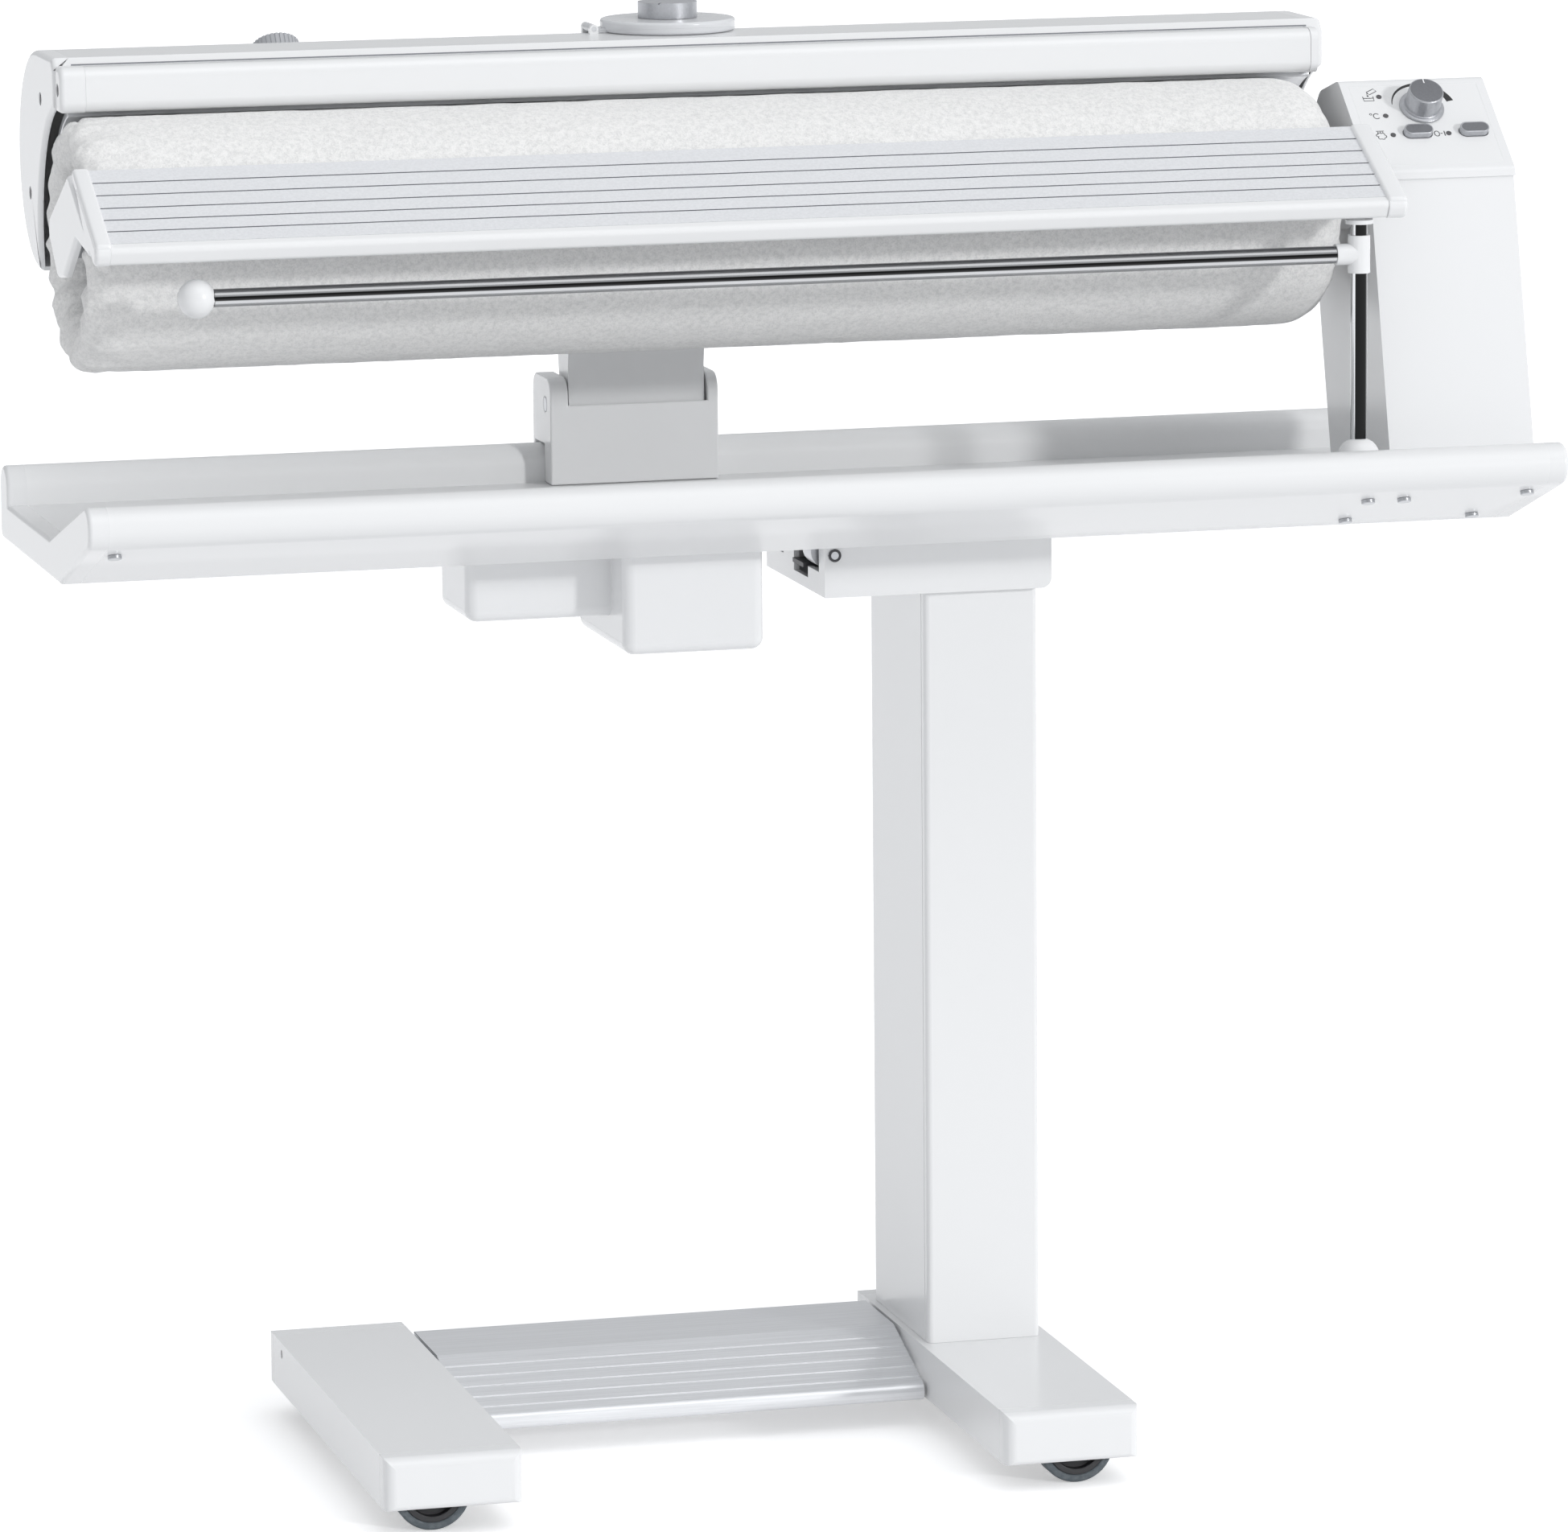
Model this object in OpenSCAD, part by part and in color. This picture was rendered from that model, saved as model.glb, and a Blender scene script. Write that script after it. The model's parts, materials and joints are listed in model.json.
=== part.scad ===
// Flatwork ironer on a folding wheeled stand: a felt roller under a tilting steam shoe, carried on a tray.
// X runs right, Y back, Z up. The floor is Z = 0 and the middle of the machine is X = Y = 0.

/* [Feet] */
// middle of the left foot
left_foot_x = -266.5; // [-320:0.5:-220]
// middle of the right foot
right_foot_x = 151; // [120:0.5:200]
// width of a foot channel
foot_w = 92; // [75:0.5:110]
// length of a foot channel
foot_len = 344; // [300:1:400]
// height of a foot channel
foot_h = 35; // [28:0.5:45]
// floor to the lower edge of a foot
foot_lift = 20; // [14:0.5:24]
// wall of a foot channel
foot_wall = 2.5; // [1.5:0.1:4]
// length of a plastic end cap
foot_cap_len = 18; // [10:0.5:25]
// rounding of an end cap
foot_cap_r = 8; // [3:0.5:12]
// middle of the cross tube between the feet
tube_y = 112; // [90:0.5:125]
// depth of the cross tube
tube_d = 48; // [30:0.5:60]
// height of the cross tube
tube_h = 21; // [15:0.5:26]
// cross tube above the lower edge of the feet
tube_rise = 3.5; // [1:0.5:8]

/* [Wheels] */
// wheel radius
wheel_r = 25.3; // [18:0.1:30]
// wheel width
wheel_w = 19; // [12:0.5:24]
// wheel middle to the end of the channel
wheel_inset = 14.5; // [12:0.1:20]
// wheel middle outside the middle of the foot
wheel_out = 9.5; // [0:0.5:12]
// thickness of the tyre
tyre_t = 5.3; // [3:0.1:8]
// axle radius
axle_r = 3; // [2:0.1:4]
// play beside a wheel
wheel_play = 0.6; // [0.3:0.1:1.5]
// cheek of a wheel housing
cheek_t = 4; // [2:0.1:6]
// housing outside the wheel rim
housing_rim = 3; // [1.5:0.1:5]
// housing below the lower edge of the foot
housing_drop = 1.5; // [0.5:0.1:4]

/* [Pedal] */
// line where the pedal turns down
pedal_fold_y = 80; // [60:0.5:95]
// middle of the round pedal nose
pedal_nose_y = 8; // [-10:0.5:25]
// slope of the pedal
pedal_slope = 17.4; // [10:0.1:25]
// pedal thickness
pedal_t = 2.5; // [1.5:0.1:4]
// radius of the pedal nose
pedal_nose_r = 6.5; // [4:0.1:9]
// back edge of the pedal
pedal_back_y = 153; // [150:0.5:165]
// pedal pivot line
pedal_pivot_y = 146; // [143:0.5:150]
// pivot below the pedal top
pedal_pivot_drop = 8; // [7:0.1:10]
// radius of the pivot rod
pedal_rod_r = 3; // [2.5:0.1:3.5]
// radius of the pedal boss
pedal_boss_r = 7; // [5.5:0.1:9]
// play at each end of the pedal
pedal_side_gap = 2; // [0.5:0.1:4]
// width of a groove in the pedal or the feed plate
groove_w = 1.2; // [0.5:0.1:2]
// depth of a groove
groove_d = 0.8; // [0.3:0.1:1.2]
// wire radius of the pedal spring
spring_wire_r = 0.8; // [0.6:0.1:0.9]

/* [Column] */
// middle of the column
column_x = 149.5; // [130:0.5:170]
// column width
column_w = 79; // [60:0.5:88]
// middle of the column, front to back
column_y = 86.25; // [60:0.25:100]
// column depth
column_d = 138.5; // [110:0.5:150]
// column height above the foot
column_h = 517.5; // [420:0.5:600]
// column wall
column_wall = 3; // [2:0.1:5]
// corner radius of the column
column_r = 4; // [2:0.1:8]
// bolt shank radius
bolt_r = 3; // [2:0.1:4]
// bolt head radius
bolt_head_r = 5.5; // [4:0.1:7]
// bolt head height
bolt_head_h = 4; // [2:0.1:5]

/* [Folding hinge] */
// left side of the hinge bracket
bracket_x = 38.8; // [20:0.1:50]
// bracket width
bracket_w = 157.7; // [130:0.1:175]
// bracket depth
bracket_d = 154; // [140:0.5:170]
// bracket wall
bracket_wall = 4; // [2:0.1:6]
// lower corner radius of the bracket
bracket_r = 7; // [4:0.1:12]
// hinge pin right of the left side of the bracket
pin_in = 6.8; // [6:0.1:10]
// hinge pin above the column
pin_rise = 28.7; // [24:0.1:34]
// hinge pin radius
pin_r = 4; // [3:0.1:5]
// hinge pin to the underside of the tray
pin_to_tray = 17.8; // [16:0.1:22]
// radius of a lug round the pin
lug_r = 11; // [8:0.1:12.5]
// width of a lug
lug_w = 22; // [14:0.5:24]
// lug middle to the bracket middle
lug_y = 46.5; // [40:0.5:52]
// thickness of the hinge plate
hinge_plate_t = 3.8; // [2.5:0.1:5]
// radius of a rest buffer
buffer_r = 6; // [4:0.1:8]
// middle of the latch lever in the bracket
latch_y = 70.5; // [66:0.5:75]
// width of the latch lever
latch_w = 28; // [18:0.5:32]
// thickness of the latch lever
latch_t = 3; // [2:0.1:4]
// radius of the latch shaft
latch_shaft_r = 4; // [3:0.1:5]

/* [Tray] */
// length of the tray extrusion
tray_w = 958; // [820:1:1050]
// length of a tray end cap
tray_cap_w = 13.5; // [8:0.5:18]
// front edge of the tray
tray_front_y = -190; // [-205:0.5:-180]
// back edge of the tray
tray_back_y = 145; // [140:0.5:150]
// radius of the front and back rails
rail_r = 14; // [10:0.5:16]
// underside to the floor of the tray
tray_floor_h = 24.5; // [20:0.5:30]
// underside to the middle of the front rail
front_rail_h = 49; // [42:0.5:56]
// underside to the middle of the back rail
back_rail_h = 36; // [30:0.5:42]
// wall of the tray extrusion
tray_wall = 2; // [1.5:0.1:3]
// radius of a small screw
screw_r = 2.2; // [1.5:0.1:3]
// radius of a small screw head
screw_head_r = 4.5; // [3:0.1:6]
// height of a small screw head
screw_head_h = 2.8; // [1.5:0.1:4]

/* [Box under the tray] */
// middle of the deep box
box_x = -64.75; // [-90:0.25:-50]
// width of the deep box
box_w = 95.5; // [70:0.5:110]
// depth of the deep box
box_d = 133; // [100:1:150]
// height of the deep box
box_h = 70; // [50:0.5:72]
// front of the deep box
box_y = -48; // [-60:0.5:-30]
// width of the shallow box beside it
side_box_w = 97.5; // [60:0.5:120]
// height of the shallow box
side_box_h = 49; // [30:0.5:60]
// wall of the boxes
box_wall = 2.5; // [1.5:0.1:4]
// corner radius of the boxes
box_r = 8; // [4:0.5:14]

/* [Roller] */
// roller axis
roller_y = -18; // [-22:0.5:-12]
// roller axis above the tray floor
roller_rise = 186.7; // [170:0.5:200]
// radius over the felt
roller_r = 82.6; // [78:0.1:86]
// thickness of the felt
felt_t = 8; // [5:0.5:10]
// left end of the roller
roller_left_x = -472; // [-475:0.5:-440]
// right end of the roller
roller_right_x = 374.5; // [340:0.5:375]
// wall of the roller drum
drum_wall = 2.5; // [1.5:0.1:4]
// depth of the hollow in each roller end
end_hollow = 25; // [10:0.5:40]
// radius of the roller shaft
shaft_r = 8; // [6:0.1:9]

/* [Feed plate] */
// back edge of the feed plate in front of the roller axis
plate_ahead = 66; // [60:0.5:70]
// back edge of the feed plate above the roller axis
plate_rise = 55.2; // [52:0.1:62]
// slope of the feed plate
plate_slope = 27.5; // [24:0.1:31]
// length of the aluminium deck down its slope
plate_len = 84.5; // [75:0.5:90]
// deck thickness
plate_t = 3; // [2:0.1:3.5]
// length of the hollow box under the front of the deck
plate_box_len = 24.5; // [18:0.5:30]
// height of the nose strip and the hollow box
nose_h = 13; // [10:0.5:16]
// length of the nose strip down the slope
nose_len = 7.5; // [6.6:0.1:12]
// left end of the deck
plate_left_x = -470; // [-472:0.5:-430]
// thickness of the left end cap
plate_cap_t = 10; // [7:0.5:10.5]
// thickness of the right end cap, which ends beside the tower
right_cap_t = 13.2; // [10:0.1:16]
// thickness of the left cap's leg beside the roller
cap_leg_t = 6; // [4:0.5:7]

/* [Steam shoe and hood] */
// gap between the felt and the closed shoe
shoe_gap = 1.3; // [1:0.1:2.5]
// thickness of the shoe
shoe_t = 5; // [3:0.1:6]
// left end of the shoe
shoe_left_x = -466; // [-468:0.5:-430]
// right end of the shoe
shoe_right_x = 376; // [340:0.5:378]
// left end of the hood shell
hood_left_x = -463; // [-465:0.5:-425]
// right end of the hood shell
hood_right_x = 374; // [340:0.5:376]
// thickness of a hood end cap
hood_cap_t = 12; // [6:0.5:12]
// radius of the round back of the hood
hood_r = 72; // [68:0.5:74]
// middle of the round back behind the roller axis
hood_back = 88; // [84:0.5:94]
// middle of the round back above the roller axis
hood_up = 46.8; // [44:0.1:52]
// front wall of the hood behind the roller axis
hood_front = 22.5; // [20:0.5:30]
// wall of the hood
hood_wall = 2.5; // [1.5:0.1:3]
// height of the front rail
front_bar_h = 29.2; // [22:0.1:30]
// depth of the front rail
front_bar_d = 18.5; // [12:0.5:20]
// front rail above the roller axis
front_bar_rise = 84.8; // [84:0.1:88]
// radius of a heating tube
heater_r = 3.5; // [2.5:0.1:4]
// middle of the shoe arm
arm_x = -66; // [-80:0.5:-50]
// width of the shoe arm
arm_w = 94; // [70:0.5:96]
// shoe pivot line
arm_pivot_y = 114; // [112:0.5:116]
// shoe pivot above the tray floor
arm_pivot_rise = 53.5; // [48:0.5:58]
// radius of the arm boss
arm_boss_r = 12; // [9:0.5:13]
// radius of the arm pin
arm_pin_r = 5; // [3.5:0.1:6]
// width of the arm housing
arm_housing_w = 116; // [114:0.5:124]
// front of the arm housing
arm_housing_y = 98; // [94:0.5:100]

/* [Water tank, lid and dial] */
// middle of the lid
lid_x = -48.6; // [-80:0.1:-20]
// middle of the lid, front to back
lid_y = 75; // [70:0.5:80]
// lid radius
lid_r = 45; // [38:0.5:46]
// lid thickness
lid_t = 8.2; // [6:0.1:10]
// radius of the lid knob
lid_knob_r = 19.75; // [14:0.25:24]
// height of the lid knob
lid_knob_h = 10.5; // [7:0.5:16]
// length of the water tank
tank_w = 260; // [180:1:268]
// dial on the back of the hood
dial_x = -305; // [-380:1:-270]
// dial radius
dial_r = 16; // [12:0.5:20]
// dial height
dial_h = 11.5; // [8:0.5:16]
// lean of the dial from upright
dial_lean = 38.5; // [25:0.5:55]

/* [Tower and controls] */
// left side of the tower
tower_x = 389.5; // [388.5:0.1:392]
// tower width
tower_w = 101.5; // [95:0.5:102.5]
// front foot of the tower
tower_front_y = -129; // [-135:0.5:-120]
// depth of the tower outline
tower_d = 177.8; // [172:0.5:184]
// height of the tower outline
tower_h = 265.2; // [258:0.2:275]
// wall of the tower
tower_wall = 3; // [2:0.1:4]
// how far the top cover stands out over the housing
cover_step = 1; // [0.5:0.1:1.5]
// height of the front lip of the top cover
cover_lip_h = 5.3; // [4:0.1:8]
// thickness of the panel overlay
panel_t = 1.2; // [0.8:0.1:2]
// radius of the temperature knob
knob_r = 12; // [10:0.1:13]
// height of the temperature knob
knob_h = 16; // [10:0.5:20]
// radius of the knob skirt
knob_skirt_r = 15.3; // [13.5:0.1:16]
// length of a button
button_l = 20; // [16:0.1:22]
// width of a button
button_w = 9.5; // [7:0.1:10]
// button above the panel
button_h = 4.5; // [3:0.1:6]
// travel of a button
button_travel = 2; // [1:0.1:2.5]
// radius of an indicator lamp
lamp_r = 1.8; // [1:0.1:2.5]
// gear module
gear_module = 1.25; // [1:0.05:1.3]
// gear width
gear_w = 12; // [8:0.5:14]

/* [Laundry rail] */
// post of the laundry rail
post_x = 360; // [352:0.5:365]
// post in front of the middle
post_y = -150; // [-155:0.5:-145]
// post radius
post_r = 5.5; // [4:0.1:6.5]
// rail above the tray floor
bar_rise = 165; // [120:0.5:168]
// length of the rail
bar_len = 773; // [600:1:800]
// radius of the rail
bar_r = 5.8; // [4:0.1:6]
// radius of the white end ball
ball_r = 12.5; // [9:0.1:14]

/* [Fits] */
// radial running clearance
run_fit = 0.05; // [0.01:0.01:0.1]
// gap between parts that rest on each other
seat = 0.3; // [0.1:0.05:0.3]
// open play round buttons and knobs
play = 0.4; // [0.2:0.05:0.8]

/* [Hidden] */
$fn = 48;

// steps in a rounded corner and in a long arc
corner_steps = 6;
arc_steps = 30;

// colours
white = [0.94, 0.94, 0.95];
silver = [0.72, 0.73, 0.75];
dark = [0.16, 0.16, 0.17];
steel = [0.55, 0.56, 0.58];
chrome = [0.85, 0.86, 0.88];
felt_white = [0.9, 0.89, 0.87];
grey = [0.5, 0.5, 0.52];
clear = [0.85, 0.87, 0.9];

// heights that build on each other
foot_top = foot_lift + foot_h;
column_top = foot_top + column_h;
pin_x = bracket_x + pin_in;
pin_z = column_top + pin_rise;
tray_z = pin_z + pin_to_tray;
floor_z = tray_z + tray_floor_h;
roller_z = floor_z + roller_rise;
over = foot_wall;
tray_end = tray_w / 2;

// wheels, counted as [side of the machine, front or back]
wheel_y = foot_len / 2 - wheel_inset;
left_wheel_x = left_foot_x - wheel_out;
right_wheel_x = right_foot_x + wheel_out;
channel_top = foot_top - foot_wall;
housing_d = wheel_w + 2 * (wheel_play + cheek_t);

// pedal
pedal_left = left_foot_x + foot_w / 2 + pedal_side_gap;
pedal_right = right_foot_x - foot_w / 2 - pedal_side_gap;
pedal_pivot_z = foot_top - pedal_pivot_drop;
pedal_drop = tan(pedal_slope) * (pedal_fold_y - pedal_nose_y) + pedal_nose_r / cos(pedal_slope);
pedal_nose_z = foot_top - pedal_drop;
pedal_groove_shares = [0.22, 0.4, 0.58, 0.76, 0.94];
tube_z = foot_lift + tube_rise;
spring_r = pedal_rod_r + spring_wire_r + seat;
spring_turns = 5;
leg_wire_share = 0.9;

// hinge bracket
bracket_y = column_y - bracket_d / 2 - foot_wall / 2;
bracket_clear_r = pin_to_tray - 2 * seat;
bracket_top = pin_z + bracket_clear_r;
bracket_mid_y = bracket_y + bracket_d / 2;
hinge_plate_x = pin_x + pin_to_tray - seat * 4;
hinge_plate_end = bracket_x + bracket_w - bracket_wall;
lug_window_w = lug_w + 2 * bracket_wall;
latch_x = pin_x + pin_to_tray + latch_shaft_r / 2;
latch_z = pin_z - lug_r - latch_shaft_r / 2;
latch_window_share = 0.66;
buffer_share = 1.2;

// tray outline
front_rail_c = [tray_front_y + rail_r, tray_z + front_rail_h];
back_rail_c = [tray_back_y - rail_r, tray_z + back_rail_h];
tray_slope = 16.3;
tray_under_slope = 19.1;
screw_grip_share = 1.5;
side_box_shares = [0.28, 0.1];
// small screws in the tray as [share of the half width, row]
tray_screw_shares = [[-0.985, 0], [0.985, 0], [0.812, 1], [0.76, 1], [0.77, 2], [0.955, 2]];
front_top = front_rail_c + rail_r * [sin(tray_slope), cos(tray_slope)];
front_low = front_rail_c - rail_r * [sin(tray_under_slope), cos(tray_under_slope)];
slope_end_y = front_top[0] + (front_top[1] - floor_z) / tan(tray_slope);
under_end_y = front_low[0] + (front_low[1] - tray_z) / tan(tray_under_slope);
web_y = [under_end_y, (under_end_y + tray_back_y) / 2, tray_back_y - 2 * rail_r];

// roller
drum_r = roller_r - felt_t;
felt_end_shares = [1.5, 3];
felt_r_left = felt_end_shares[0] * felt_t;
felt_r_right = felt_end_shares[1] * felt_t;
gear_teeth = 60;
pinion_teeth = 15;
gear_distance = gear_module * (gear_teeth + pinion_teeth) / 2;
gear_gap = 4 * tower_wall;
gear_x = tower_x + gear_gap;
frame_left_x = tower_x + 2 * tower_wall;
frame_right_x = gear_x + gear_w + tower_wall;
shaft_end_x = frame_right_x + tower_wall;
motor_z = roller_z - gear_distance;
motor_share = 0.62;
motor_foot_shares = [0.7, 1.3];
motor_len_share = 0.9;
tooth_shares = [0.8, 1.15];

// feed plate, in a frame that starts at its back edge and runs down its slope
plate_skin_share = 0.7;
nose_round_share = 0.46;
cap_heel_share = 0.6;
leg_boss_share = 1.4;
plate_y = roller_y - plate_ahead;
plate_z = roller_z + plate_rise;
plate_right_x = tower_x - seat - right_cap_t;
plate_groove_shares = [0.17, 0.34, 0.515, 0.675, 0.83];

// hood
shoe_r = roller_r + shoe_gap;
shoe_out_r = shoe_r + shoe_t;
hood_in_r = shoe_out_r + seat;
hood_top_v = hood_up + hood_r;
hood_top_z = roller_z + hood_top_v;
hood_c = [roller_y + hood_back, roller_z + hood_up];
heater_ring_r = hood_in_r + heater_r;
hood_edge_shares = [0.767, 0.677];
bar_piece_share = 0.9;
cap_screw_shares = [[1, 1.233], [1.64, 0.317]];
cap_hole_r = 2 * screw_r;
bar_round_shares = [0.42, 0.3];
shoe_low_a = -13;
shoe_high_a = 75;
heater_angles = [2, 24, 46, 66];
rib_shares = [0.04, 0.24, 0.7, 0.96];
cap_in_r = shoe_out_r + foot_wall / 2;
bar_front_y = roller_y + hood_front - front_bar_d;
bar_low_z = roller_z + front_bar_rise;

// shoe arm
arm_z = floor_z + arm_pivot_rise;
arm_left = arm_x - arm_w / 2;
arm_side_gap = hood_wall / 2;
arm_low_shares = [1.6, 0.9, 1.7, 1.55];
arm_top_shares = [0.75, 0.2, 0.25];
arm_drop_share = 0.6;
tail_share = 2.5;
arm_housing_left = arm_x - arm_housing_w / 2 - hood_wall;

// lid and dial
lid_z = hood_top_z + seat;
lid_pin_r = lid_t / 5;
lid_barrel_share = 0.36;
lid_barrel_r = lid_t * lid_barrel_share;
lid_hinge_x = lid_x - lid_r - lid_t;
lid_hinge_z = lid_z + lid_barrel_r;
lid_ear_w = lid_t / 2;
knob_mark_share = 0.7;
lid_barrel_w = 2 * lid_t;
neck_share = 0.75;
neck_r = lid_r * neck_share;
collar_share = 0.92;
collar_r = lid_r * collar_share;
collar_start_share = 0.55;
tank_r = hood_r - hood_wall - seat;
tank_front_share = 1.7;
tank_near_share = 1.1;
tank_low_share = 1.13;
tank_knee_a = 38;
tank_low_a = 10;
tank_start_a = -35;
tank_wall_share = 0.8;
tank_left_share = 0.58;
tank_x = lid_x - tank_w * tank_left_share;
dial_spindle_r = dial_r / 4;

// tower outline as shares of its depth and height
tower_top_shares = [[0.2531, 0.7937], [0.6355, 1], [0.8493, 0.9623], [1, 0.8454]];
tower_radii = [6, 8, 14, 12] / 3 * tower_wall;
tower_back_foot = 0.6918;
tower_low_z = floor_z + seat;
tower_foot_rise = tan(tray_slope) * (slope_end_y - tower_front_y);
tower_pts = [for (s = tower_top_shares) [tower_front_y + s[0] * tower_d, tower_low_z + s[1] * tower_h]];
panel_a = atan2(tower_pts[1][1] - tower_pts[0][1], tower_pts[1][0] - tower_pts[0][0]);
panel_len = norm(tower_pts[1] - tower_pts[0]);
panel_margin = 2 * tower_wall;
panel_size = [tower_w, panel_len];
knob_share = [0.508, 0.683];
steam_button_share = [0.42, 0.405];
power_button_share = [0.806, 0.405];
lamp_shares = [[0.242, 0.809], [0.243, 0.601], [0.248, 0.392], [0.631, 0.391]];
knob_at = [for (i = [0, 1]) knob_share[i] * panel_size[i]];
steam_button_at = [for (i = [0, 1]) steam_button_share[i] * panel_size[i]];
power_button_at = [for (i = [0, 1]) power_button_share[i] * panel_size[i]];
lamps_at = [for (s = lamp_shares) [s[0] * tower_w, s[1] * panel_len]];
button_stem = 2 * button_travel;
button_pin_share = 2.5;
cover_seam_z = tower_pts[0][1] - cover_lip_h;

// laundry rail
bar_z = floor_z + bar_rise;
post_foot_z = floor_z + tan(tray_slope) * (slope_end_y - post_y);
nose_under = plate_z - sin(plate_slope) * (plate_len + nose_len) - cos(plate_slope) * nose_h;
collar_top = nose_under - seat;
collar_ring_shares = [1.65, 0.5];
ring_h = collar_ring_shares[1] * post_r;
post_top = collar_top - ring_h / 2;
tee_shares = [1.32, 4.5];
tee_r = tee_shares[0] * post_r;
tee_h = tee_shares[1] * post_r;
socket_len = 3 * post_r;
socket_wall_share = 0.2;
dome_shares = [2.5, 2.1];

// points on an arc, a rounded corner, a rounded outline, and an outline moved inward
function unit(v) = v / norm(v);
function polar(r, a) = r * [cos(a), sin(a)];
function arc(c, r, a0, a1, n = arc_steps) = [for (i = [0 : n]) c + polar(r, a0 + (a1 - a0) * i / n)];
function corner(p, a, b, r) =
    let (
        u = unit(a - p),
        v = unit(b - p),
        half = acos(u * v) / 2,
        reach = min(r / tan(half), min(norm(a - p), norm(b - p)) / 2),
        rr = reach * tan(half),
        c = p + unit(u + v) * rr / sin(half),
        s = p + u * reach - c,
        e = p + v * reach - c,
        a0 = atan2(s[1], s[0])
    )
    r > 0 ? arc(c, rr, a0, a0 + atan2(cross(s, e), s * e), corner_steps) : [p];
function rounded(pts, radii) =
    let (n = len(pts))
    [for (i = [0 : n - 1]) each corner(pts[i], pts[(i + n - 1) % n], pts[(i + 1) % n], radii[i])];
function inward(a, b) = let (d = unit(b - a)) [-d[1], d[0]];
function inset(pts, t) =
    let (n = len(pts))
    [for (i = [0 : n - 1])
        let (
            u = inward(pts[(i + n - 1) % n], pts[i]),
            v = inward(pts[i], pts[(i + 1) % n])
        )
        pts[i] + (u + v) * t / (1 + u * v)];
function box_pts(a, b) = [a, [b[0], a[1]], b, [a[0], b[1]]];

// outlines in [y, z] drawn out along X, and outlines in [x, z] drawn out along Y
module along_x(x0, x1) {
    translate([x0, 0, 0]) rotate([90, 0, 90]) linear_extrude(x1 - x0) children();
}

module along_y(y0, y1) {
    translate([0, y1, 0]) rotate([90, 0, 0]) linear_extrude(y1 - y0) children();
}

module rod_x(x0, x1, y, z, r) {
    translate([x0, y, z]) rotate([0, 90, 0]) cylinder(h = x1 - x0, r = r);
}

module rod_y(y0, y1, x, z, r) {
    translate([x, y0, z]) rotate([-90, 0, 0]) cylinder(h = y1 - y0, r = r);
}

module box(a, b) {
    translate(a) cube(b - a);
}

// stand
module channel(x) {
    inner = foot_w / 2 - foot_wall;
    difference() {
        box([x - foot_w / 2, -foot_len / 2, foot_lift], [x + foot_w / 2, foot_len / 2, foot_top]);
        box([x - inner, -foot_len / 2 - over, foot_lift - over], [x + inner, foot_len / 2 + over,
            channel_top]);
        rod_x(x - foot_w, x + foot_w, pedal_pivot_y, pedal_pivot_z, pedal_rod_r);
        children();
    }
}

module left_foot() {
    color(white) channel(left_foot_x);
}

module right_foot() {
    color(white) channel(right_foot_x) {
        bolt_holes(channel_top - over, foot_top + over);
    }
}

module foot_cap(x, side) {
    half = foot_w / 2;
    depth = foot_cap_len;
    edge = [for (p = [[-half, 0], [half, 0], [half, depth], [-half, depth]]) p];
    face = rounded(edge, [0, 0, foot_cap_r, foot_cap_r]);
    intersection() {
        translate([x, side * foot_len / 2, 0]) mirror([0, side < 0 ? 1 : 0, 0]) translate([0, 0, foot_lift])
            linear_extrude(foot_h) polygon(face);
        along_x(x - foot_w, x + foot_w)
            mirror([side < 0 ? 1 : 0, 0])
                polygon(rounded(
                    [[0, foot_lift], [foot_len / 2 + depth, foot_lift], [foot_len / 2 + depth, foot_top],
                        [0, foot_top]],
                    [0, foot_cap_r / 2, foot_cap_r, 0]));
    }
}

module foot_caps() {
    color(white) for (x = [left_foot_x, right_foot_x], side = [-1, 1]) foot_cap(x, side);
}

module wheel_housing(x, y) {
    half = wheel_r + housing_rim;
    well = wheel_r + housing_rim / 3;
    low = foot_lift - housing_drop;
    difference() {
        box([x - half, y - housing_d / 2, low], [x + half, y + housing_d / 2, channel_top]);
        box([x - well, y - wheel_w / 2 - wheel_play, low - over],
            [x + well, y + wheel_w / 2 + wheel_play, channel_top + over]);
        rod_y(y - housing_d, y + housing_d, x, wheel_r, axle_r);
    }
}

module wheel_housings() {
    color(dark) for (x = [left_wheel_x, right_wheel_x], y = [-wheel_y, wheel_y]) wheel_housing(x, y);
}

module wheel_axles() {
    color(steel) for (x = [left_wheel_x, right_wheel_x], y = [-wheel_y, wheel_y])
        rod_y(y - housing_d / 2, y + housing_d / 2, x, wheel_r, axle_r);
}

module tyre(x, y) {
    color(grey) difference() {
        rod_y(y - wheel_w / 2, y + wheel_w / 2, x, wheel_r, wheel_r);
        rod_y(y - wheel_w, y + wheel_w, x, wheel_r, wheel_r - tyre_t);
    }
}

module hub(x, y) {
    rim = wheel_r - tyre_t;
    color(dark) difference() {
        rod_y(y - wheel_w / 2, y + wheel_w / 2, x, wheel_r, rim);
        for (side = [-1, 1]) difference() {
            rod_y(y + side * wheel_w / 2 - wheel_w / 4, y + side * wheel_w / 2 + wheel_w / 4, x, wheel_r,
                rim - cheek_t);
            rod_y(y - wheel_w, y + wheel_w, x, wheel_r, 2 * axle_r);
        }
        rod_y(y - wheel_w, y + wheel_w, x, wheel_r, axle_r + run_fit);
    }
}

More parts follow.
